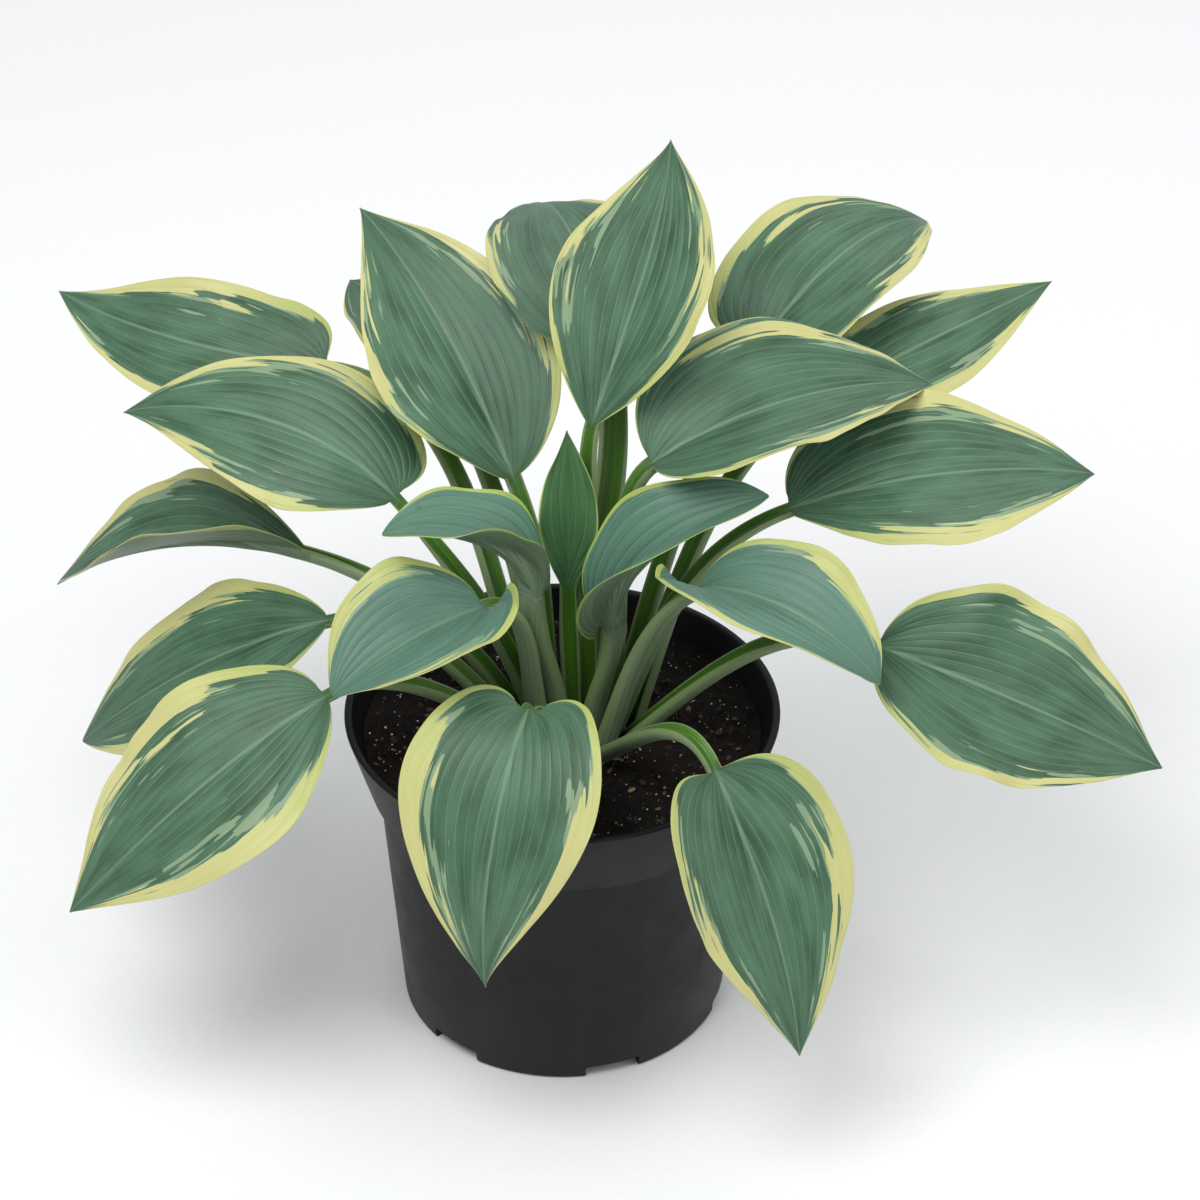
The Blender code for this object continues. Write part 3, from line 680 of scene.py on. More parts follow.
@dataclass
class NurseryPot:
    """The tapered pot: a flared collar with a rounded rim, a thin wall and a notched foot."""

    rim_radius: float = 0.095
    height: float = 0.150
    lip: float = 0.0033
    lip_round: float = 0.0013
    collar_depth: float = 0.034
    collar_foot_radius: float = 0.0847
    wall_top_radius: float = 0.0808
    base_radius: float = 0.0716
    wall: float = 0.0022
    foot_ring: float = 0.005
    floor: float = 0.0025
    floor_round: float = 0.0006
    floor_corner_round: float = 0.0012
    bend_round: float = 0.0015      # inside, where the wall flares out into the collar
    step_round: float = 0.0010
    step_corner_round: float = 0.0008
    step_slope: float = 0.0008      # how far the collar's underside slopes down to the wall
    ring_round: float = 0.0005
    pad_round: float = 0.0004
    round_points: int = 6
    pad_radius: float = 0.045
    channel: float = 0.0035
    channel_slope: float = 0.0020
    foot_round: float = 0.0022
    drain_slots: int = 6
    drain_first: float = -72.0
    drain_span: float = 20.0
    drain_reach: float = 0.060
    drain_end: float = 0.1          # past the rim
    drain_round: float = 0.0015
    drain_round_points: int = 7
    drain_headroom: float = 0.0002
    sides: int = 240
    sharp_angle: float = 35.0

    @property
    def collar_foot(self) -> float:
        """Height of the step where the collar ends."""
        return self.height - self.collar_depth

    @property
    def drain_top(self) -> float:
        """Height of a drainage slot."""
        return self.channel + self.floor + self.drain_headroom

    def inner_radius(self, height: float) -> float:
        """Radius of the pot's inside at a height: a straight taper, then the collar's flare.

        Args:
            height: height above the floor in metres.

        Returns:
            The radius in metres.
        """
        if height <= self.collar_foot:
            slope = (self.wall_top_radius - self.base_radius) / self.collar_foot
            return self.base_radius + slope * height - self.wall
        start = self.wall_top_radius - self.wall
        share = (height - self.collar_foot) / self.collar_depth
        return start + (self.rim_radius - self.lip - start) * share

    def profile(self) -> Array:
        """The pot's outline from the middle of its inside, over the rim, to the middle below.

        Returns:
            Rows of radius and height.
        """
        step_edge = self.pad_radius - self.channel_slope / 4
        raised = self.channel + self.floor
        return rounded_profile((
            (0, self.floor, 0),
            (step_edge, self.floor, self.floor_round),
            (step_edge + self.channel_slope, raised, self.floor_round),
            (self.inner_radius(raised), raised, self.floor_corner_round),
            (self.inner_radius(self.collar_foot), self.collar_foot, self.bend_round),
            (self.rim_radius - self.lip, self.height, self.lip_round),
            (self.rim_radius, self.height, self.lip_round),
            (self.collar_foot_radius, self.collar_foot, self.step_round),
            (self.wall_top_radius, self.collar_foot - self.step_slope, self.step_corner_round),
            (self.base_radius, 0, self.foot_round),
            (self.base_radius - self.foot_ring, 0, self.ring_round),
            (self.base_radius - self.foot_ring, self.channel, self.pad_round),
            (self.pad_radius + self.channel_slope, self.channel, self.pad_round),
            (self.pad_radius, 0, self.pad_round),
            (0, 0, 0),
        ), self.round_points)

    def slot_cutter(self, bearing: float) -> bpy.types.Object:
        """One box with rounded upper corners that cuts a drainage slot.

        Its section is a rectangle whose two upper corners are quarter circles, carried straight
        outwards from the slot's inner end to past the rim.

        Args:
            bearing: the slot's direction in radians.

        Returns:
            The cutter, which isn't rendered.
        """
        half = self.base_radius * sin(radians(self.drain_span / 2))
        turn = np.linspace(0, pi / 2, self.drain_round_points)
        reach, top = half - self.drain_round, self.drain_top - self.drain_round
        right = np.stack([reach + self.drain_round * np.cos(turn),
                          top + self.drain_round * np.sin(turn)], axis=-1)
        section = np.concatenate([right, right[::-1] * (-1, 1), [[-half, -top], [half, -top]]])
        count = len(section)
        outward = np.array((cos(bearing), sin(bearing), 0))
        level = np.array((-sin(bearing), cos(bearing), 0))
        flat = section[:, :1] * level + section[:, 1:] * UP
        points = np.concatenate([flat + outward * end for end in (self.drain_reach, self.drain_end)])
        faces = grid_faces(2, count, True) + [tuple(range(count))[::-1]]
        faces.append(tuple(range(count, 2 * count)))
        mesh = bpy.data.meshes.new("drain_slot_cutter")
        mesh.from_pydata(points.tolist(), [], faces)
        cutter = bpy.data.objects.new("drain_slot_cutter", mesh)
        bpy.context.scene.collection.objects.link(cutter)
        return cutter

    def build(self, plastic: bpy.types.Material) -> bpy.types.Object:
        """Turns the pot, cuts its drainage slots and dresses it.

        Args:
            plastic: the pot's material.

        Returns:
            The finished pot.
        """
        points, faces = turned_surface(self.profile(), self.sides)
        pot = add_piece("nursery_pot", points, faces, plastic, ("pot",))
        cutters = [self.slot_cutter(radians(self.drain_first + index * 360 / self.drain_slots))
                   for index in range(self.drain_slots)]
        for cutter in cutters:
            cut = pot.modifiers.new("drain_slot", "BOOLEAN")
            cut.operation = "DIFFERENCE"
            cut.solver = "EXACT"
            cut.object = cutter
        graph = bpy.context.evaluated_depsgraph_get()
        pot.data = bpy.data.meshes.new_from_object(pot.evaluated_get(graph))
        pot.data.name = "nursery_pot"
        pot.modifiers.clear()
        for cutter in cutters:
            bpy.data.objects.remove(cutter)
        pot.data.set_sharp_from_angle(angle=radians(self.sharp_angle))
        return pot


# ---- the potting mix ----------------------------------------------------------------------------

@dataclass
class PottingMix:
    """The mix that fills the pot, with bark chips and pale grains lying on it."""

    pot: NurseryPot
    level: float = SOIL_LEVEL
    dip: float = 0.0025
    gap: float = 0.0003
    flat_edge: float = 0.003
    rings: int = 96
    ring_spread: float = 0.85       # under 1 brings the rings closer together at the wall
    sides: int = 300
    crumbs: tuple = (
        # spacing, height, seed
        (0.0022, 0.0009, 11),
        (0.005, 0.0011, 12),
        (0.012, 0.0008, 13),
    )
    grain_margin: float = 0.003     # how far the grains keep off the wall
    grain_bias: float = 2.2         # above 1 makes most grains small
    grain_breadth: tuple = (0.45, 0.8)
    grain_height: tuple = (0.6, 1.2)
    grain_jitter: tuple = (0.7, 1.1)
    grain_tilt: float = 0.35
    grain_seat: float = 0.5
    grain_sharp_angle: float = 30.0

    def surface(self, x: Array, y: Array) -> Array:
        """Height of the mix: its level, less slow dips, plus three sizes of crumb.

        The dips are a product of two waves, 84 and 105 mm long, plus a slanting one 46 mm long.
        Dips and crumbs fade out at the wall.

        Args:
            x: coordinates in metres.
            y: coordinates in metres.

        Returns:
            Heights in metres.
        """
        slow = 0.5 + 0.3 * np.sin(75 * x + 0.8) * np.cos(60 * y - 0.4) + 0.2 * np.sin(130 * y + 40 * x)
        rim = self.pot.inner_radius(self.level) - self.gap
        edge = smoothstep((rim - np.hypot(x, y)) / self.flat_edge)
        rough = sum(size * lattice_noise(x, y, cell, seed) for cell, size, seed in self.crumbs)
        return self.level - edge * (self.dip * slow - rough)

    def build_bed(self, peat: bpy.types.Material) -> bpy.types.Object:
        """The closed body of the mix: a polar grid above, the pot's own inside around and below.

        Args:
            peat: its material.

        Returns:
            The finished piece.
        """
        pot, gap = self.pot, self.gap
        rim = pot.inner_radius(self.level) - gap
        low, high = pot.floor + gap, pot.channel + pot.floor + gap
        step = pot.pad_radius - pot.channel_slope / 4 - gap
        below = [(pot.inner_radius(pot.collar_foot) - gap, pot.collar_foot),
                 (pot.inner_radius(high) - gap, high), (step + pot.channel_slope, high),
                 (step, low), (0, low)]
        radii = rim * (np.arange(self.rings + 1) / self.rings) ** self.ring_spread
        top = np.stack([radii, np.full_like(radii, self.level)], axis=-1)
        points, faces = turned_surface(np.concatenate([top, below]), self.sides)
        upper = points[:, 2] > self.level - 1e-6
        points[upper, 2] = self.surface(points[upper, 0], points[upper, 1])
        return add_piece("potting_mix_bed", points, faces, peat, ("soil",))

    def scatter(self, name: str, count: int, sizes: tuple, flatness: float, seed: int,
                finish: bpy.types.Material) -> bpy.types.Object:
        """Grains strewn over the mix: squashed, jittered icosahedra, each turned its own way.

        The twelve corners of an icosahedron are pushed in or out at random, scaled in three
        directions, turned about +Z and tilted a little, and set on the surface.

        Args:
            name: the piece's name.
            count: the number of grains.
            sizes: least and greatest length of a grain in metres.
            flatness: a grain's height as a share of its length.
            seed: the random numbers' seed.
            finish: its material.

        Returns:
            The finished piece, with a tone kept for each grain.
        """
        rng = np.random.default_rng(seed)
        golden = (1 + 5 ** 0.5) / 2
        flat = np.array([(0, one, two * golden) for one in (-1, 1) for two in (-1, 1)])
        corners = unit(np.concatenate([flat, np.roll(flat, 1, axis=1), np.roll(flat, 2, axis=1)]))
        gaps = np.linalg.norm(corners[:, None] - corners, axis=-1)
        near = (gaps > 0) & (gaps < 1.1)        # an edge is 1.05 long, and the next gap is 1.7
        triangles = [(a, b, c) for a, b, c in combinations(range(len(corners)), 3)
                     if near[a, b] and near[b, c] and near[a, c]]
        triangles = [(a, b, c) if corners[a] @ np.cross(corners[b], corners[c]) > 0 else (a, c, b)
                     for a, b, c in triangles]

        reach = self.pot.inner_radius(self.level) - self.grain_margin
        radius = reach * np.sqrt(rng.uniform(0, 1, count))
        bearing = rng.uniform(0, tau, count)
        x, y = radius * np.cos(bearing), radius * np.sin(bearing)
        length = sizes[0] + (sizes[1] - sizes[0]) * rng.uniform(0, 1, count) ** self.grain_bias
        scale = np.stack([
            length, length * rng.uniform(*self.grain_breadth, count),
            length * flatness * rng.uniform(*self.grain_height, count)], axis=-1) / 2
        shape = corners * rng.uniform(*self.grain_jitter, (count, len(corners), 1)) * scale[:, None]
        turn = rng.uniform(0, tau, count)[:, None]
        tilt = rng.normal(0, self.grain_tilt, count)[:, None]
        tilted_x = shape[..., 0] * np.cos(tilt) - shape[..., 2] * np.sin(tilt)
        tilted_z = shape[..., 0] * np.sin(tilt) + shape[..., 2] * np.cos(tilt)
        height = self.surface(x, y) + scale[:, 2] * self.grain_seat
        points = np.stack([
            tilted_x * np.cos(turn) - shape[..., 1] * np.sin(turn) + x[:, None],
            tilted_x * np.sin(turn) + shape[..., 1] * np.cos(turn) + y[:, None],
            tilted_z + height[:, None]], axis=-1)
        first = len(corners) * np.arange(count)[:, None, None]
        faces = (np.array(triangles) + first).reshape(-1, 3).tolist()
        piece = add_piece(name, points, faces, finish)
        piece.data.set_sharp_from_angle(angle=radians(self.grain_sharp_angle))
        store(piece, "tone", np.repeat(rng.uniform(0, 1, count), len(corners)))
        return piece


# ---- the leaves ---------------------------------------------------------------------------------

CROWN = (0.006, 0.006)      # the plant's own axis, a little off the pot's
INNER_RING, MIDDLE_RING, OUTER_RING = 0.007, 0.0165, 0.025


class Age(Enum):
    """How far a leaf has grown, which sets the width of its margin and the colour of its green."""

    GROWN = "grown"
    YOUNG = "young"
    UNFOLDING = "unfolding"
    SPEAR = "spear"


@dataclass(frozen=True)
class Growth:
    """What a leaf's age does to its look, each as a share.

    youth is how blue its green is and freshness how fresh, raggedness is how far the streaks move
    the margin in and out, rib is how pale the midrib is, and border is the margin's width to the
    leaf's own.
    """

    youth: float
    freshness: float
    raggedness: float
    rib: float
    border: float


GROWTH = {
    Age.GROWN: Growth(youth=0.05, freshness=0.0, raggedness=1.0, rib=0.75, border=1.0),
    Age.YOUNG: Growth(youth=0.55, freshness=0.0, raggedness=0.7, rib=0.6, border=0.75),
    Age.UNFOLDING: Growth(youth=0.70, freshness=0.12, raggedness=0.15, rib=0.3, border=0.3),
    Age.SPEAR: Growth(youth=0.10, freshness=0.65, raggedness=0.1, rib=0.15, border=0.25),
}


@dataclass(frozen=True)
class Leaf:
    """One leaf. Bearings and angles are in degrees and lengths in metres.

    base and tip are the blade's two ends: bearing and distance from the crown's axis, and height.
    root is the bearing and distance of the petiole's foot, and lean is its slope where it leaves
    the soil. handles say how far each end's direction carries along the petiole. stem is its width
    at the foot and at the blade.
    rise and side bend the midrib up and to the right, at the base and at the tip. roll tips the
    blade's face to the right. fold is each half's angle above the midrib at the base and the tip,
    curl is how much more it turns by the margin, and lobe_curl turns up the left and right lobes.
    shoulder and point shape the outline, lobe is how far the left and right lobes reach back as a
    share of the midrib, lobe_at is where along it they do so most, lobe_form under 1 makes them
    rounder, and cup is how steeply they rise behind the base. ruffle is the waves' height, their
    number and their phase. margin is the cream border's width as a share of each half, on the left
    and on the right.
    """

    name: str
    base: tuple
    tip: tuple
    root: tuple
    width: float
    roll: float = 0.0
    rise: tuple = (15.0, -15.0)
    side: tuple = (0.0, 0.0)
    fold: tuple = (25.0, 5.0)
    curl: tuple = (0.0, 0.0)
    lobe: tuple = (0.10, 0.10)
    lobe_curl: tuple = (0.0, 0.0)
    lobe_at: float = 0.12
    lobe_form: float = 1.0
    cup: float = 0.0
    shoulder: float = 0.62
    point: float = 1.15
    ruffle: tuple = (0.0015, 2.5, 0.0)
    stem: tuple = (0.008, 0.006)
    lean: float = 70.0
    handles: tuple = (0.40, 0.35)
    margin: tuple = (0.20, 0.20)
    age: Age = Age.GROWN


LEAVES = (
    # Left side, the outer and upper leaves.
    Leaf("leaf_01", (135, 0.157, 0.251), (144, 0.290, 0.254), (145, OUTER_RING), 0.066,
         roll=-26, rise=(8, -8), side=(-16, 16), fold=(15, 5), lobe=(0.10, 0.07),
         ruffle=(0.004, 1.4, 0), lean=66, margin=(0.12, 0.25)),
    Leaf("leaf_02", (158, 0.084, 0.235), (158, 0.214, 0.247), (174, MIDDLE_RING), 0.073,
         roll=-29, rise=(26, -24), side=(24, -20), fold=(12, 5), curl=(-20, -10), lobe=(-0.03, 0.07),
         margin=(0.18, 0.15)),
    Leaf("leaf_03", (127, 0.045, 0.243), (125, 0.166, 0.318), (134, MIDDLE_RING), 0.082,
         roll=-18, rise=(12, -18), side=(6, -8), lobe=(-0.04, 0), shoulder=0.7, point=1.25,
         stem=(0.008, 0.007), lean=80, margin=(0.11, 0.18)),
    # Upright leaves at the back.
    Leaf("leaf_04", (73, 0.0245, 0.278), (70, 0.119, 0.366), (64, 0.013), 0.076,
         roll=6, rise=(8, -8), side=(4, -14), fold=(40, 18), lobe=(0, 0), shoulder=0.95, point=1.3,
         stem=(0.007, 0.006), lean=86, handles=(0.35, 0.12), margin=(0.13, 0.18)),
    Leaf("leaf_05", (80, 0.074, 0.290), (95, 0.185, 0.292), (79, OUTER_RING), 0.092,
         roll=2, rise=(30, -32), fold=(20, 5), point=1.3, stem=(0.009, 0.011), lean=84,
         margin=(0.02, 0.10)),
    Leaf("leaf_06", (118, 0.135, 0.247), (122, 0.193, 0.264), (122, OUTER_RING), 0.060,
         rise=(25, -25), lean=68, margin=(0.04, 0.10)),
    # Right side, the outer and upper leaves.
    Leaf("leaf_07", (48, 0.120, 0.275), (48, 0.235, 0.288), (35, OUTER_RING), 0.076,
         roll=8, rise=(42, -45), margin=(0.18, 0.14)),
    Leaf("leaf_08", (34, 0.131, 0.262), (32, 0.248, 0.283), (10, OUTER_RING), 0.053,
         roll=24, rise=(2, -2), fold=(0, -10), lean=68),
    Leaf("leaf_09", (22, 0.035, 0.265), (22, 0.166, 0.273), (32, MIDDLE_RING), 0.084,
         roll=13, rise=(30, -28), fold=(28, 14), lobe=(0.02, 0.02), stem=(0.008, 0.007), lean=82,
         handles=(0.40, 0.20), margin=(0.13, 0.12)),
    Leaf("leaf_10", (7, 0.092, 0.243), (7, 0.224, 0.250), (356, MIDDLE_RING), 0.088,
         roll=16, rise=(20, -22), fold=(18, 0), lobe=(0.04, -0.04), shoulder=0.75, point=1.1,
         margin=(0.18, 0.25)),
    # Left side, the low leaves that arch out over the rim.
    Leaf("leaf_11", (160, 0.127, 0.198), (160, 0.249, 0.152), (171, OUTER_RING), 0.068,
         roll=-3, rise=(25, -22), fold=(75, 10), lobe=(0, 0), shoulder=0.95, point=0.95, lean=60,
         margin=(0.16, 0.16)),
    Leaf("leaf_12", (173, 0.109, 0.183), (174, 0.221, 0.110), (196, 0.0265), 0.083,
         roll=-16, rise=(18, -16), fold=(15, 5), curl=(-20, -10), lobe=(0, 0), shoulder=0.8, point=0.95,
         lean=52, margin=(0.22, 0.24)),
    Leaf("leaf_13", (213, 0.047, 0.218), (212, 0.120, 0.199), (213, MIDDLE_RING), 0.069,
         roll=-15, rise=(20, -20), fold=(25, 26), lobe=(0.24, 0), lobe_at=0.34, lobe_form=0.6,
         lobe_curl=(75, 0), cup=65, point=0.86, stem=(0.009, 0.006), lean=74,
         margin=(0.16, 0.26), age=Age.YOUNG),
    Leaf("leaf_14", (203, 0.115, 0.185), (203, 0.234, 0.105), (235, 0.026), 0.088,
         roll=-20, rise=(18, -12), fold=(15, 5), curl=(-20, -10), lobe=(0, 0.04), shoulder=0.75,
         lean=46, margin=(0.24, 0.22)),
    # Young leaves at the crown, still folded.
    Leaf("leaf_15", (200, 0.0195, 0.213), (195, 0.084, 0.252), (200, INNER_RING), 0.046,
         roll=-3, rise=(62, -38), fold=(80, 20), lobe=(-0.12, -0.08), lobe_at=0.15, lobe_form=0.8,
         shoulder=0.8, point=0.85, stem=(0.010, 0.010), lean=88, handles=(0.40, 0.25),
         age=Age.UNFOLDING),
    Leaf("leaf_16", (335, 0.017, 0.196), (355, 0.082, 0.262), (330, INNER_RING), 0.050,
         roll=14, rise=(56, -35), fold=(85, 18), lobe=(-0.06, 0.12), lobe_at=0.15, lobe_form=0.6,
         shoulder=0.8, point=0.9, stem=(0.010, 0.009), lean=88, handles=(0.40, 0.20),
         age=Age.UNFOLDING),
    Leaf("leaf_17", (107, 0.011, 0.204), (103, 0.016, 0.280), (110, 0.0048), 0.027,
         rise=(5, -5), fold=(25, 20), lobe=(0, 0), shoulder=1.0, stem=(0.006, 0.007), lean=86,
         age=Age.SPEAR),
    # Right side and front, the low leaves.
    Leaf("leaf_18", (328, 0.061, 0.231), (328, 0.149, 0.216), (314, 0.0175), 0.060,
         roll=10, rise=(48, -48), fold=(31, 15), lobe=(-0.05, 0.20), lobe_at=0.26,
         lobe_form=0.6, lobe_curl=(0, 90), cup=70, shoulder=0.7, point=1.05, stem=(0.009, 0.006),
         lean=74, margin=(0.28, 0.10), age=Age.YOUNG),
    Leaf("leaf_19", (342, 0.134, 0.209), (343, 0.258, 0.170), (338, OUTER_RING), 0.087,
         roll=32, rise=(8, -10), lobe=(0.02, 0.03), shoulder=0.75, ruffle=(0.003, 4, 0), lean=50,
         margin=(0.18, 0.12)),
    Leaf("leaf_20", (252, 0.064, 0.190), (252, 0.123, 0.085), (262, OUTER_RING), 0.086,
         roll=-4, rise=(52, -36), side=(4, -8), fold=(14, 5), lobe=(0.10, 0.09), lobe_at=0.06,
         lobe_form=0.8, shoulder=0.7, point=1.45, lean=52, handles=(0.40, 0.15), margin=(0.18, 0.23)),
    Leaf("leaf_21", (303, 0.107, 0.180), (303, 0.173, 0.071), (290, OUTER_RING), 0.084,
         rise=(8, -6), side=(-4, 10), lobe=(0.05, 0.10), lean=42, margin=(0.23, 0.13)),
)


def around_crown(bearing: float, distance: float, height: float) -> Array:
    """A point by its bearing in degrees and distance from the crown's axis, and its height."""
    angle = radians(bearing)
    return np.array((CROWN[0] + distance * cos(angle), CROWN[1] + distance * sin(angle), height))


def bezier(points: tuple, t: Array) -> Array:
    """A cubic curve's place at t: the four points, weighted by the cubic Bernstein terms.

    Args:
        points: the curve's four control points.
        t: places along it, from 0 to 1.

    Returns:
        Points, with one more axis than t.
    """
    t = np.asarray(t, float)[..., None]
    a, b, c, d = points
    return (1 - t) ** 3 * a + 3 * (1 - t) ** 2 * t * b + 3 * (1 - t) * t ** 2 * c + t ** 3 * d


def bezier_direction(points: tuple, t: Array) -> Array:
    """The same curve's direction: its three sides, weighted by the quadratic Bernstein terms.

    Args:
        points: the curve's four control points.
        t: places along it, from 0 to 1.

    Returns:
        Vectors of length 1.
    """
    t = np.asarray(t, float)[..., None]
    a, b, c, d = points
    return unit((1 - t) ** 2 * (b - a) + 2 * (1 - t) * t * (c - b) + t ** 2 * (d - c))


def bent_strip(fold: Array, curl: Array, across: Array) -> tuple[Array, Array]:
    """A strip that leaves the midrib at angle fold and turns up by curl more: a circle's arc.

    Args:
        fold: angle at the midrib in radians.
        curl: further turn by the margin in radians.
        across: place along the strip, from 0 at the midrib to 1 at the margin.

    Returns:
        How far the place lies sideways and upwards, for a strip of length 1.
    """
    curl = np.where(np.abs(curl) < 1e-4, 1e-4, curl)
    sideways = (np.sin(fold + curl * across) - np.sin(fold)) / curl
    upwards = (np.cos(fold) - np.cos(fold + curl * across)) / curl
    return sideways, upwards


class LeafShape:
    """The centre line and the upper surface of one leaf, in vein coordinates."""

    groove_fold = 15.0          # a petiole's channel: angle of its sides at the middle
    groove_curl = 30.0          # and how much more they turn up by the rims
    groove_spread = 0.17
    back_depth = 0.55           # depth of the rounded back, to the petiole's width
    rib_taper = 0.75
    tip_half_width = 0.0003
    lobe_power = 1.6
    lobe_fade = 0.004
    lobe_curl_end = 0.28
    neck_curl = 0.2             # share of a lobe's curl that the neck has
    neck_curl_end = 0.08
    fold_ease = 0.7             # under 1 opens the blade's fold sooner
    rib_fade = 1.5              # above 1 thins the rib sooner
    opening_start = 0.5         # where up the petiole its channel starts to open into the blade
    second_side_phase = 0.37
    step = 1e-4                 # the differences that give a normal
    hair = 1e-9                 # and how far they keep off the blade's base and the midrib

    def __init__(self, leaf: Leaf) -> None:
        """Works out the two centre lines.

        Args:
            leaf: the leaf's sizes.
        """
        self.leaf = leaf
        base, tip = around_crown(*leaf.base), around_crown(*leaf.tip)
        along = unit(tip - base)
        level = unit(UP - along[2] * along)
        right = np.cross(along, level)
        roll = radians(leaf.roll)
        self.face = level * cos(roll) + right * sin(roll)
        self.right = right * cos(roll) - level * sin(roll)
        start = self.direction(along, leaf.rise[0], leaf.side[0])
        end = self.direction(along, leaf.rise[1], leaf.side[1])
        self.length = np.linalg.norm(tip - base)
        reach = self.length / 3
        self.midrib = (base, base + start * reach, tip - end * reach, tip)

        root = around_crown(*leaf.root, SOIL_LEVEL)
        outward = unit((base - root) * (1, 1, 0))
        lean = radians(leaf.lean)
        leaving = outward * cos(lean) + UP * sin(lean)
        self.span = np.linalg.norm(base - root)
        self.petiole = (root, root + leaving * self.span * leaf.handles[0],
                        base - start * self.span * leaf.handles[1], base)
        self.root_right = np.cross(outward, UP)

    def direction(self, along: Array, rise: float, side: float) -> Array:
        """The chord's direction turned to the side and up.

        Args:
            along: the chord's direction.
            rise: angle up, towards the blade's face, in degrees.
            side: angle to the right in degrees.

        Returns:
            A vector of length 1.
        """
        rise, side = radians(rise), radians(side)
        forward = along * cos(side) + self.right * sin(side)
        return unit(forward * cos(rise) + self.face * sin(rise))

    def midrib_frame(self, t: Array) -> tuple[Array, Array, Array, Array]:
        """Point, direction, right and face along the midrib.

        Behind the base, where only the lobes reach, the line runs on straight, at the cup's slope.

        Args:
            t: place along the midrib, below 0 behind its base.

        Returns:
            The point and the three directions, each of length 1.
        """
        inside = np.clip(t, 0, 1)
        direction = bezier_direction(self.midrib, inside)
        right = unit(self.right - (direction @ self.right)[..., None] * direction)
        face = np.cross(right, direction)
        cup = radians(self.leaf.cup)
        behind = np.maximum(-t, 0)[..., None] * 3 * np.linalg.norm(self.midrib[1] - self.midrib[0])
        point = bezier(self.midrib, inside) + behind * (face * sin(cup) - direction * cos(cup))
        return point, direction, right, face

    def petiole_frame(self, t: Array) -> tuple[Array, Array, Array, Array]:
        """The same along the petiole, turning smoothly from its foot's bearing to the blade's.

        Args:
            t: place along the petiole, from 0 in the soil to 1 at the blade.

        Returns:
            The point and the three directions, each of length 1.
        """
        direction = bezier_direction(self.petiole, t)
        blade_right = self.midrib_frame(np.zeros(1))[2][0]
        turn = smoothstep(t)[..., None]
        right = self.root_right * (1 - turn) + blade_right * turn
        right = unit(right - (right * direction).sum(-1, keepdims=True) * direction)
        return bezier(self.petiole, t), direction, right, np.cross(right, direction)

    def half_width(self, u: Array) -> Array:
        """Half the blade's width.

        u to the power of the shoulder times 1 - u to the power of the point, scaled to a peak of 1,
        plus the petiole's half width, which fades out by the middle of the blade.

        Args:
            u: place along the midrib, from 0 to 1.

        Returns:
            Half widths in metres.
        """
        leaf = self.leaf
        peak = leaf.shoulder / (leaf.shoulder + leaf.point)
        outline = u ** leaf.shoulder * (1 - u) ** leaf.point
        outline = outline / (peak ** leaf.shoulder * (1 - peak) ** leaf.point)
        neck = leaf.stem[1] / 2 * np.clip(1 - 2 * u, 0, 1) ** 4 * (1 - outline)
        return np.maximum(leaf.width / 2 * outline + neck, self.tip_half_width)

    @staticmethod
    def of_side(pair: tuple, v: Array) -> Array:
        """The left or the right value of a pair, by the side of the midrib that v is on."""
        return np.where(v > 0, pair[1], pair[0])

    def blade(self, u: Array, v: Array) -> Array:
        """Point of the blade's upper surface.

        The midrib's point, moved back for the lobes, plus half the width along a bent strip, plus a
        ruffle that grows with the cube of the distance from the midrib.

        Args:
            u: place along the midrib, from 0 to 1.
            v: place across, from -1 to 1.

        Returns:
            Points in metres.
        """
        leaf = self.leaf
        across = np.abs(v)
        half = self.half_width(u)
        neck = leaf.stem[1] / 2
        past_neck = np.clip((across * half - neck) / np.maximum(half - neck, self.lobe_fade), 0, 1)
        back = (u / leaf.lobe_at * np.exp(1 - u / leaf.lobe_at)) ** leaf.lobe_form * (1 - u ** 3)
        back = back * past_neck ** self.lobe_power
        point, _, right, face = self.midrib_frame(u - self.of_side(leaf.lobe, v) * back)
        lobe_curl = self.of_side(leaf.lobe_curl, v) * np.exp(-(u / self.lobe_curl_end) ** 2)
        lobe_curl = lobe_curl * blend((self.neck_curl, 1), smoothstep(u / self.neck_curl_end))
        fold = np.radians(blend(leaf.fold, u ** self.fold_ease))
        curl = np.radians(blend(leaf.curl, u) + lobe_curl)
        sideways, upwards = bent_strip(fold, curl, across)
        height, waves, phase = leaf.ruffle
        wave = np.sin(tau * (waves * u + phase + self.of_side((0, self.second_side_phase), v)))
        ruffle = height * across ** 3 * wave * np.minimum(2 * half / leaf.width, 1)
        sideways, upwards = half * sideways, half * upwards + ruffle
        return point + (np.sign(v) * sideways)[..., None] * right + upwards[..., None] * face

    def stem_half_width(self, t: Array) -> Array:
        """Half the petiole's width, from its foot at 0 to the blade at 1."""
        return blend(self.leaf.stem, t) / 2

    def channel(self, t: Array, v: Array) -> Array:
        """Point of the petiole's grooved upper side.

        The petiole's point plus half its width along a bent strip, which opens from the groove's
        angles to the blade's.

        Args:
            t: place along the petiole, from 0 to 1.
            v: place across, from -1 at its left rim to 1 at its right.

        Returns:
            Points in metres.
        """
        point, _, right, face = self.petiole_frame(t)
        opening = smoothstep((t - self.opening_start) / (1 - self.opening_start))
        fold = np.radians(blend((self.groove_fold, self.leaf.fold[0]), opening))
        blade_curl = self.leaf.curl[0] + self.neck_curl * self.of_side(self.leaf.lobe_curl, v)
        curl = np.radians(blend((self.groove_curl, blade_curl), opening))
        sideways, upwards = bent_strip(fold, curl, np.abs(v))
        half = self.stem_half_width(t) * (1 + self.groove_spread * (1 - opening))
        sideways, upwards = half * sideways, half * upwards
        return point + (np.sign(v) * sideways)[..., None] * right + upwards[..., None] * face

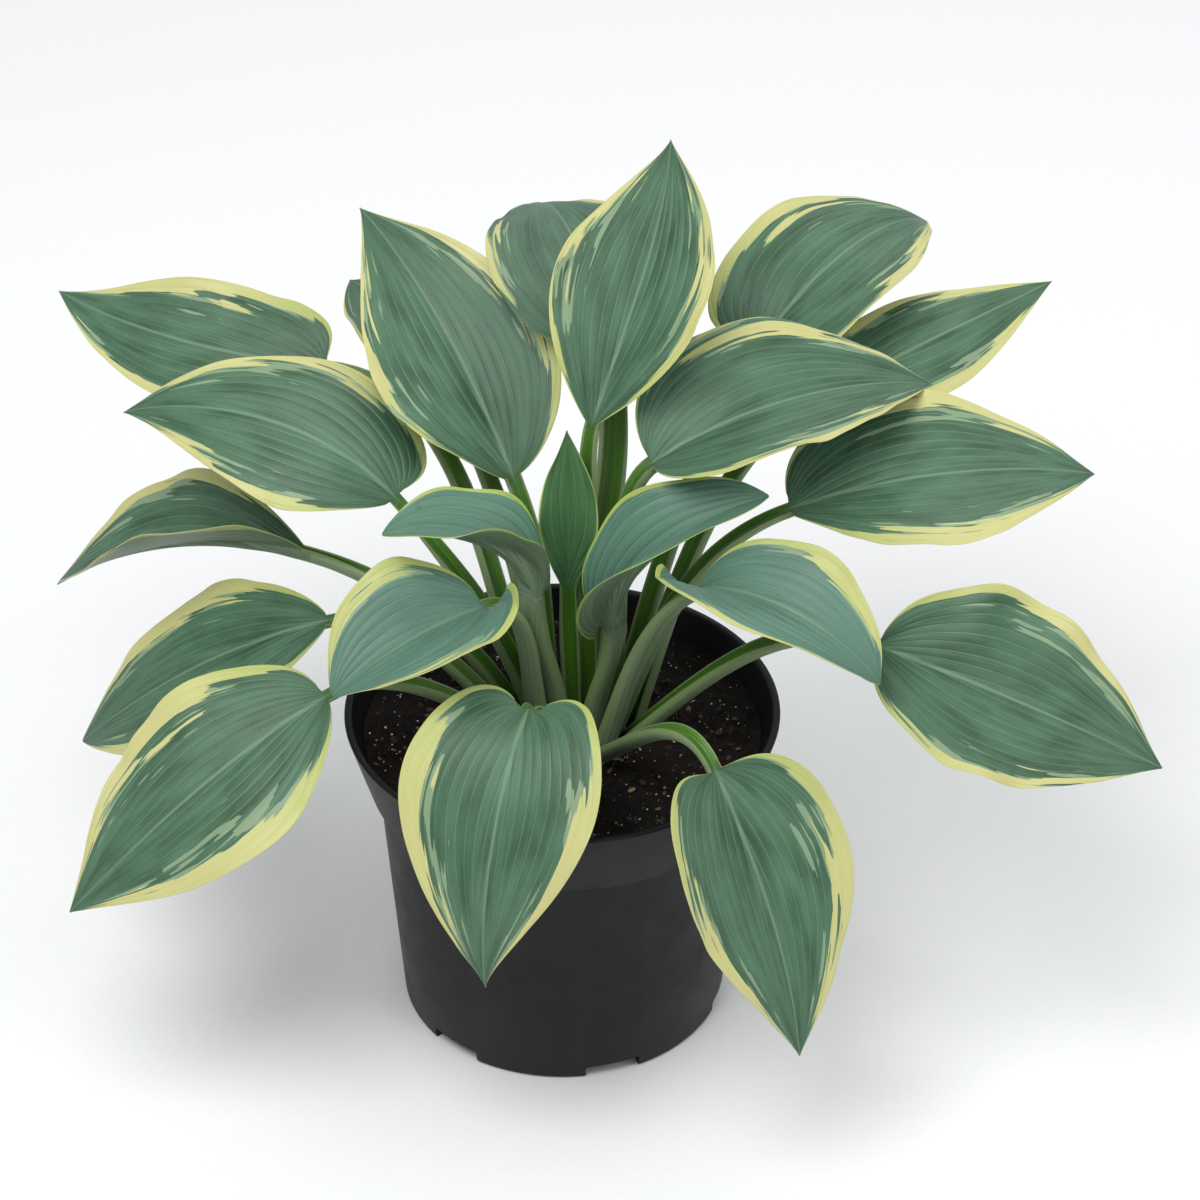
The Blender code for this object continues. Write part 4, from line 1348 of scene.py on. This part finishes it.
    def point(self, s: Array, v: Array) -> Array:
        """Upper side of the whole leaf: the petiole's channel before s = 0 and the blade after.

        Args:
            s: place along the leaf, from -1 to 1.
            v: place across, from -1 to 1.

        Returns:
            Points in metres.
        """
        s, v = np.broadcast_arrays(np.asarray(s, float), np.asarray(v, float))
        stem = self.channel(np.clip(s + 1, 0, 1), v)
        return np.where((s < 0)[..., None], stem, self.blade(np.clip(s, 0, 1), v))

    def normal(self, s: Array, v: Array) -> Array:
        """Upward normal of the upper side, from differences inside the half that v lies in.

        Args:
            s: place along the leaf, from -1 to 1.
            v: place across, from -1 to 1.

        Returns:
            Vectors of length 1.
        """
        step, hair = self.step, self.hair
        side = np.where(v > 0, 1.0, -1.0)
        s_low = np.where(s > 0, np.maximum(s - step, hair), np.maximum(s - step, -1))
        s_high = np.where(s > 0, np.minimum(s + step, 1), np.minimum(s + step, -hair))
        along = self.point(s_high, v) - self.point(s_low, v)
        near_rib = np.abs(v) < step
        inward = np.where(near_rib, side * step, v - side * step)
        outward = np.where(near_rib, -side, side)[..., None]
        across = (self.point(s, v) - self.point(s, inward)) * outward
        return unit(np.cross(across, along))

    def rib(self, s: Array) -> tuple[Array, Array]:
        """The petiole's rounded back, which runs on under the blade and thins out.

        Args:
            s: place along the leaf, from -1 to 1.

        Returns:
            Its half width and its depth in metres.
        """
        stem = self.stem_half_width(np.clip(s + 1, 0, 1))
        u = np.clip(s, 0, 1)
        return stem * (1 - self.rib_taper * u), 2 * self.back_depth * stem * (1 - u) ** self.rib_fade


@dataclass
class HostaLeaf:
    """One finished leaf: both faces of the sheet, its rib, its sunken veins and its patterns."""

    leaf: Leaf
    stem_rows: int = 26
    blade_rows: int = 80
    half_columns: int = 37
    row_bunching: float = 0.12      # how far the rows crowd towards the blade's base and tip
    last_row: float = 0.997         # just before the tip
    column_bunching: float = 1.3    # above 1 crowds the columns towards the midrib
    inner_margin: float = 0.988     # the extra column just inside the margin
    sheet: tuple = (0.00060, 0.00045)
    edge_sheet: float = 0.55        # thickness at the margin, to the blade's own
    edge_round: float = 0.4         # how far the edge stands out, to its thickness
    most_mitre: float = 2.5
    foot_depth: float = 0.012
    foot_taper: float = 0.70
    crimp: float = 0.0010
    crimp_cell: float = 0.009
    crimp_stretch: float = 1.5
    half_shift: float = 0.05        # the part of the noise that each half reads
    leaf_shift: float = 0.013       # and each leaf
    vein_spacing: float = 0.0047
    vein_relief: float = 0.00022
    vein_fades: tuple = (0.06, 0.25, 0.12)  # how far they fade in from base, tip and margin
    margin_base: tuple = (0.35, 0.4)    # share of its width the border has at the base, and its rise
    margin_tip: tuple = (0.12, 0.22)    # the same at the tip
    rib_width: tuple = (0.0013, 0.0003)     # the pale midrib's half width at the base and the tip
    rib_base: tuple = (0.4, 0.05)       # share of that it has at the very base, and its rise
    rib_edge: tuple = (0.3, 1.0)        # in half widths, where it starts to fade and over how much
    stalk_fade: tuple = (-0.06, 0.10)   # where the petiole's colours start to fade, and over how much
    rim_line: tuple = (0.80, 0.12)      # the same for the pale line along its rims
    fan: float = 2.2                # how many veins leave the midrib above its base
    fan_reach: float = 0.22
    drift: float = 0.10             # how fast the streaks run out towards the margin
    seed_spread: float = 1.7        # sets the leaves' streaks apart

    def rows(self) -> Array:
        """Places along the leaf: even up the petiole, then close together at base and tip.

        Returns:
            s of each row, as a column.
        """
        x = np.linspace(0, 1, self.blade_rows)
        blade = (x - self.row_bunching * np.sin(tau * x)) * self.last_row
        stem = np.linspace(-1, 0, self.stem_rows + 1)[:-1]
        return np.concatenate([stem, blade])[:, None]

    def columns(self) -> Array:
        """Places across the leaf: closer together at the midrib, and one just inside each margin.

        Returns:
            v of each column, as a row.
        """
        half = np.linspace(0, 1, self.half_columns) ** self.column_bunching
        half = np.sort(np.append(half, self.inner_margin))
        return np.concatenate([-half[:0:-1], half])[None]

    def vein_number(self, u: Array, across: Array) -> Array:
        """Veins counted from the midrib: even across the blade, fanning from the lower midrib."""
        count = self.leaf.width / 2 / self.vein_spacing
        return count * across + self.fan * np.exp(-u / self.fan_reach)

    def relief(self, s: Array, v: Array) -> Array:
        """How far the sheet is moved along its normal: sunken veins and small crimps at the margin.

        A vein's groove is the square of a raised cosine of its number, and fades out at the blade's
        base, tip and margin. The crimps are smooth noise times the fifth power of the distance from
        the midrib.

        Args:
            s: place along the leaf, from -1 to 1.
            v: place across, from -1 to 1.

        Returns:
            Distances in metres, below 0 in a vein.
        """
        u, across = np.clip(s, 0, 1), np.abs(v)
        base, tip, margin = self.vein_fades
        fade = smoothstep(s / base) * smoothstep((1 - u) / tip) * smoothstep((1 - across) / margin)
        groove = (0.5 + 0.5 * np.cos(tau * self.vein_number(u, across))) ** 2
        seed = sum(ord(letter) * place for place, letter in enumerate(self.leaf.name))
        lane = np.sign(v) * self.half_shift + seed * self.leaf_shift
        along = u * self.leaf.width * self.crimp_stretch + lane
        noise = lattice_noise(along, lane + 0 * across, self.crimp_cell, seed)
        wide = np.sin(pi * u) ** 0.5
        return -self.vein_relief * groove * fade + self.crimp * noise * across ** 5 * wide * (s > 0)

    def surfaces(self) -> tuple[Array, Array, Array, Array]:
        """Both sides of the sheet.

        The lower side is the upper one moved back along the normal by the sheet's thickness, which
        the fold's mitre widens at the midrib, and by the rib: its depth times the half circle
        across its width.

        Returns:
            s and v of the grid, and the upper and the lower points.
        """
        shape = LeafShape(self.leaf)
        s, v = np.broadcast_arrays(self.rows(), self.columns())
        u = np.clip(s, 0, 1)
        rib_half, rib_depth = shape.rib(s)
        half = np.where(s < 0, rib_half, shape.half_width(u))
        normal = shape.normal(s, v)
        middle = v.shape[1] // 2
        at = s[:, :1]
        on_right = shape.normal(at, np.full_like(at, shape.hair))[:, 0]
        on_left = shape.normal(at, np.full_like(at, -shape.hair))[:, 0]
        normal[:, middle] = unit(on_right + on_left)
        mitre = np.ones_like(v)
        mitre[:, middle] = np.minimum(1 / (normal[:, middle] * on_right).sum(-1), self.most_mitre)
        upper = shape.point(s, v) + self.relief(s, v)[..., None] * normal
        edge = blend((1.0, self.edge_sheet), np.abs(v) ** 8)
        roundness = np.sqrt(np.clip(1 - (v * half / rib_half) ** 2, 0, 1))
        thickness = blend(self.sheet, u) * edge * mitre + rib_depth * roundness
        return s, v, upper, upper - thickness[..., None] * normal

    def rings(self, shape: LeafShape, upper: Array, lower: Array) -> Array:
        """Closes the sheet round its margin and down into the mix.

        A ring runs along the upper side, through one point outside the right margin, back along the
        lower side and through one point outside the left. The first ring is slid along the petiole
        to the mix's level, and the foot's ring lies below it, smaller.

        Args:
            shape: the leaf's shape.
            upper: the sheet's upper points, whose first row is moved.
            lower: its lower points, whose first row is moved.

        Returns:
            The points of each ring, the foot's first.
        """
        leaving = bezier_direction(shape.petiole, 0.0)
        for side in (upper, lower):
            side[0] += leaving * ((SOIL_LEVEL - side[0, :, 2:]) / leaving[2])
        middle = (upper + lower) / 2
        out = unit(middle[:, [0, -1]] - middle[:, [1, -2]])
        thick = np.linalg.norm(upper - lower, axis=-1)[:, [0, -1], None]
        edges = middle[:, [0, -1]] + out * thick * self.edge_round
        rings = np.concatenate([upper, edges[:, 1:], lower[:, ::-1], edges[:, :1]], axis=1)
        foot = rings[0].mean(axis=0) + self.foot_taper * (rings[0] - rings[0].mean(axis=0))
        foot[:, 2] = SOIL_LEVEL - self.foot_depth
        return np.concatenate([foot[None], rings])

    @staticmethod
    def ring_faces(rows: int, columns: int) -> list:
        """Quads between the rings, and a cap over the foot and the tip.

        A cap joins the upper side to the lower one below it, with a triangle at each margin.

        Args:
            rows: the number of rings.
            columns: the number of points across the sheet.

        Returns:
            Tuples of vertex numbers.
        """
        around = 2 * columns + 2
        caps = [(place, around - 2 - place, around - 3 - place, place + 1)
                for place in range(columns - 1)]
        caps += [(around - 1, around - 2, 0), (columns - 1, columns + 1, columns)]
        last = (rows - 1) * around
        ends = [tuple(last + corner for corner in cap[::-1]) for cap in caps]
        return grid_faces(rows, around, True) + caps + ends

    @staticmethod
    def on_rings(values: Array) -> Array:
        """A value of the grid laid out on the rings, with the foot's ring before them.

        Args:
            values: one number for each place of the grid.

        Returns:
            One number for each vertex.
        """
        laid = np.concatenate([values, values[:, -1:], values[:, ::-1], values[:, :1]], axis=1)
        return np.concatenate([laid[:1], laid]).ravel()

    def store_patterns(self, piece: bpy.types.Object, shape: LeafShape, s: Array, v: Array) -> None:
        """Keeps on each vertex what the tissue's patterns follow.

        vein_flow is the place along and across the veins in millimetres, with a number of the
        leaf's own. zone tells the petiole, the lower side and the place along the blade. The cream
        margin starts where margin_depth is 0, and its width rises from the base and falls to the
        tip by smooth steps.

        Args:
            piece: the leaf's object.
            shape: the leaf's shape.
            s: place along the leaf, from -1 to 1.
            v: place across, from -1 to 1.
        """
        growth = GROWTH[self.leaf.age]
        u, across, flat = np.clip(s, 0, 1), np.abs(v), np.ones_like(s)
        half_mm, length_mm = self.leaf.width / 2 * MM_PER_METRE, shape.length * MM_PER_METRE
        seed = float(sum(ord(letter) for letter in self.leaf.name)) * self.seed_spread
        along_mm = np.where(s < 0, s * shape.span * MM_PER_METRE, s * length_mm)
        lane = half_mm * v - np.sign(v) * self.drift * length_mm * u
        stem_mm = shape.stem_half_width(np.clip(s + 1, 0, 1)) * MM_PER_METRE
        lane = np.where(s < 0, stem_mm * v, lane)
        flow = [self.on_rings(values) for values in (along_mm, lane, flat * seed)]
        store(piece, "vein_flow", np.stack(flow, axis=-1))
        store(piece, "vein_number", self.on_rings(np.where(s < 0, 0.5, self.vein_number(u, across))))

        ends = blend((self.margin_base[0], 1), smoothstep(u / self.margin_base[1]))
        ends = ends * blend((self.margin_tip[0], 1), smoothstep((1 - u) / self.margin_tip[1]))
        start = 1 - shape.of_side(self.leaf.margin, v) * growth.border * ends
        store(piece, "margin_depth", self.on_rings(across - start))

        stalk = 1 - smoothstep((s - self.stalk_fade[0]) / self.stalk_fade[1])
        below = np.concatenate([0 * s, 0.5 * flat[:, :1], flat, 0.5 * flat[:, :1]], axis=1)
        below = np.concatenate([below[:1], below]).ravel()
        store(piece, "zone", np.stack([self.on_rings(stalk), below, self.on_rings(u)], axis=-1))

        rise = blend((self.rib_base[0], 1), smoothstep(u / self.rib_base[1]))
        off_rib = across * shape.half_width(u) / (blend(self.rib_width, u) * rise)
        midrib = (1 - smoothstep((off_rib - self.rib_edge[0]) / self.rib_edge[1])) * growth.rib
        store(piece, "midrib", self.on_rings(np.where(s < 0, 0, midrib)))
        rim = smoothstep((across - self.rim_line[0]) / self.rim_line[1])
        store(piece, "stalk_rim", self.on_rings(rim))
        trait = (growth.youth, growth.freshness, growth.raggedness)
        store(piece, "trait", np.tile(trait, (len(below), 1)))

    def build(self, tissue: bpy.types.Material) -> bpy.types.Object:
        """Makes the leaf one closed piece and keeps its pattern coordinates.

        Args:
            tissue: the leaf's material.

        Returns:
            The finished leaf.
        """
        s, v, upper, lower = self.surfaces()
        shape = LeafShape(self.leaf)
        points = self.rings(shape, upper, lower)
        faces = self.ring_faces(len(points), v.shape[1])
        piece = add_piece(f"hosta_{self.leaf.name}", points, faces, tissue, (self.leaf.name,))
        self.store_patterns(piece, shape, s, v)
        return piece


# ---- the studio ---------------------------------------------------------------------------------

@dataclass
class Studio:
    """A plain pale floor, soft light from the upper left, and the camera."""

    floor_size: float = 6.0
    sky: float = 0.56
    target: tuple = (0.01636, 0.0, 0.2075)
    distance: float = 2.0
    elevation: float = 35.3
    lens: float = 140.4
    sensor: float = 36.0
    camera_bearing: float = -90.0
    room: str = "f6f9fc"
    lamps: tuple = (
        # name, bearing, elevation, distance, size, watts
        ("key_softbox", 235.0, 62.0, 1.9, 1.3, 26.0),
        ("fill_softbox", 330.0, 40.0, 2.4, 1.6, 14.0),
        ("back_softbox", 70.0, 50.0, 2.2, 1.4, 9.0),
    )

    def build_floor(self, paint: bpy.types.Material) -> None:
        """Lays the floor, a flat square at height 0, outside the plant's body.

        Args:
            paint: the floor's material.
        """
        half = self.floor_size / 2
        corners = [(-half, -half, 0), (half, -half, 0), (half, half, 0), (-half, half, 0)]
        mesh = bpy.data.meshes.new("studio_floor")
        mesh.from_pydata(corners, [], [(0, 1, 2, 3)])
        mesh.materials.append(paint)
        floor = bpy.data.objects.new("studio_floor", mesh)
        bpy.context.scene.collection.objects.link(floor)

    def aim(self, item: bpy.types.Object, bearing: float, elevation: float, distance: float) -> None:
        """Puts a lamp or the camera on a sphere round the target, looking at its middle.

        Args:
            item: the lamp's or the camera's object.
            bearing: its direction from the target in degrees.
            elevation: its angle above the floor in degrees.
            distance: its distance from the target in metres.
        """
        turn, rise = radians(bearing), radians(elevation)
        offset = np.array((cos(rise) * cos(turn), cos(rise) * sin(turn), sin(rise))) * distance
        item.location = tuple(np.array(self.target) + offset)
        item.rotation_euler = (pi / 2 - rise, 0, turn + pi / 2)

    def build_lights(self) -> None:
        """Hangs the soft boxes and sets the even light of the room."""
        for name, bearing, elevation, distance, size, watts in self.lamps:
            lamp = bpy.data.lights.new(name, "AREA")
            lamp.shape = "DISK"
            lamp.size = size
            lamp.energy = watts
            item = bpy.data.objects.new(name, lamp)
            bpy.context.scene.collection.objects.link(item)
            self.aim(item, bearing, elevation, distance)
        world = bpy.data.worlds.new("studio_room")
        world.use_nodes = True
        world.node_tree.nodes.clear()
        room = add_node(world.node_tree, "Background", links={
            "Color": linear(self.room), "Strength": self.sky})
        add_node(world.node_tree, "OutputWorld", links={"Surface": room.outputs[0]})
        bpy.context.scene.world = world

    def build_camera(self) -> None:
        """Sets up the camera, in front of the plant and above it."""
        camera = bpy.data.cameras.new("studio_camera")
        camera.lens = self.lens
        camera.sensor_width = self.sensor
        item = bpy.data.objects.new("studio_camera", camera)
        bpy.context.scene.collection.objects.link(item)
        self.aim(item, self.camera_bearing, self.elevation, self.distance)
        bpy.context.scene.camera = item


def main() -> None:
    """Builds the pot, the mix, the leaves and the studio."""
    logging.basicConfig(level=logging.INFO, format="%(name)s: %(message)s")
    studio = Studio()
    studio.build_camera()
    studio.build_lights()
    studio.build_floor(MattPaint().make())
    bpy.context.scene.view_settings.view_transform = "Standard"

    pot = NurseryPot()
    pot.build(MouldedPolypropylene().make())

    mix = PottingMix(pot)
    mix.build_bed(PeatMix().make())
    bark = BrokenGrain("composted_pine_bark", tones=("100a07", "20140d", "3f2a1a", "8a6845"),
                       grain=0.0012, relief=0.0003, roughness=0.8)
    mix.scatter("bark_chips", count=520, sizes=(0.0010, 0.0052), flatness=0.4, seed=21,
                finish=bark.make())
    grit = BrokenGrain("expanded_perlite", tones=("8a6a50", "b89878", "e6d8c4"),
                       grain=0.0006, relief=0.0002, roughness=0.7)
    mix.scatter("perlite_grains", count=620, sizes=(0.0005, 0.0017), flatness=0.7, seed=22,
                finish=grit.make())

    tissue = HostaTissue().make()
    for leaf in LEAVES:
        HostaLeaf(leaf).build(tissue)


if __name__ == "__main__":
    main()
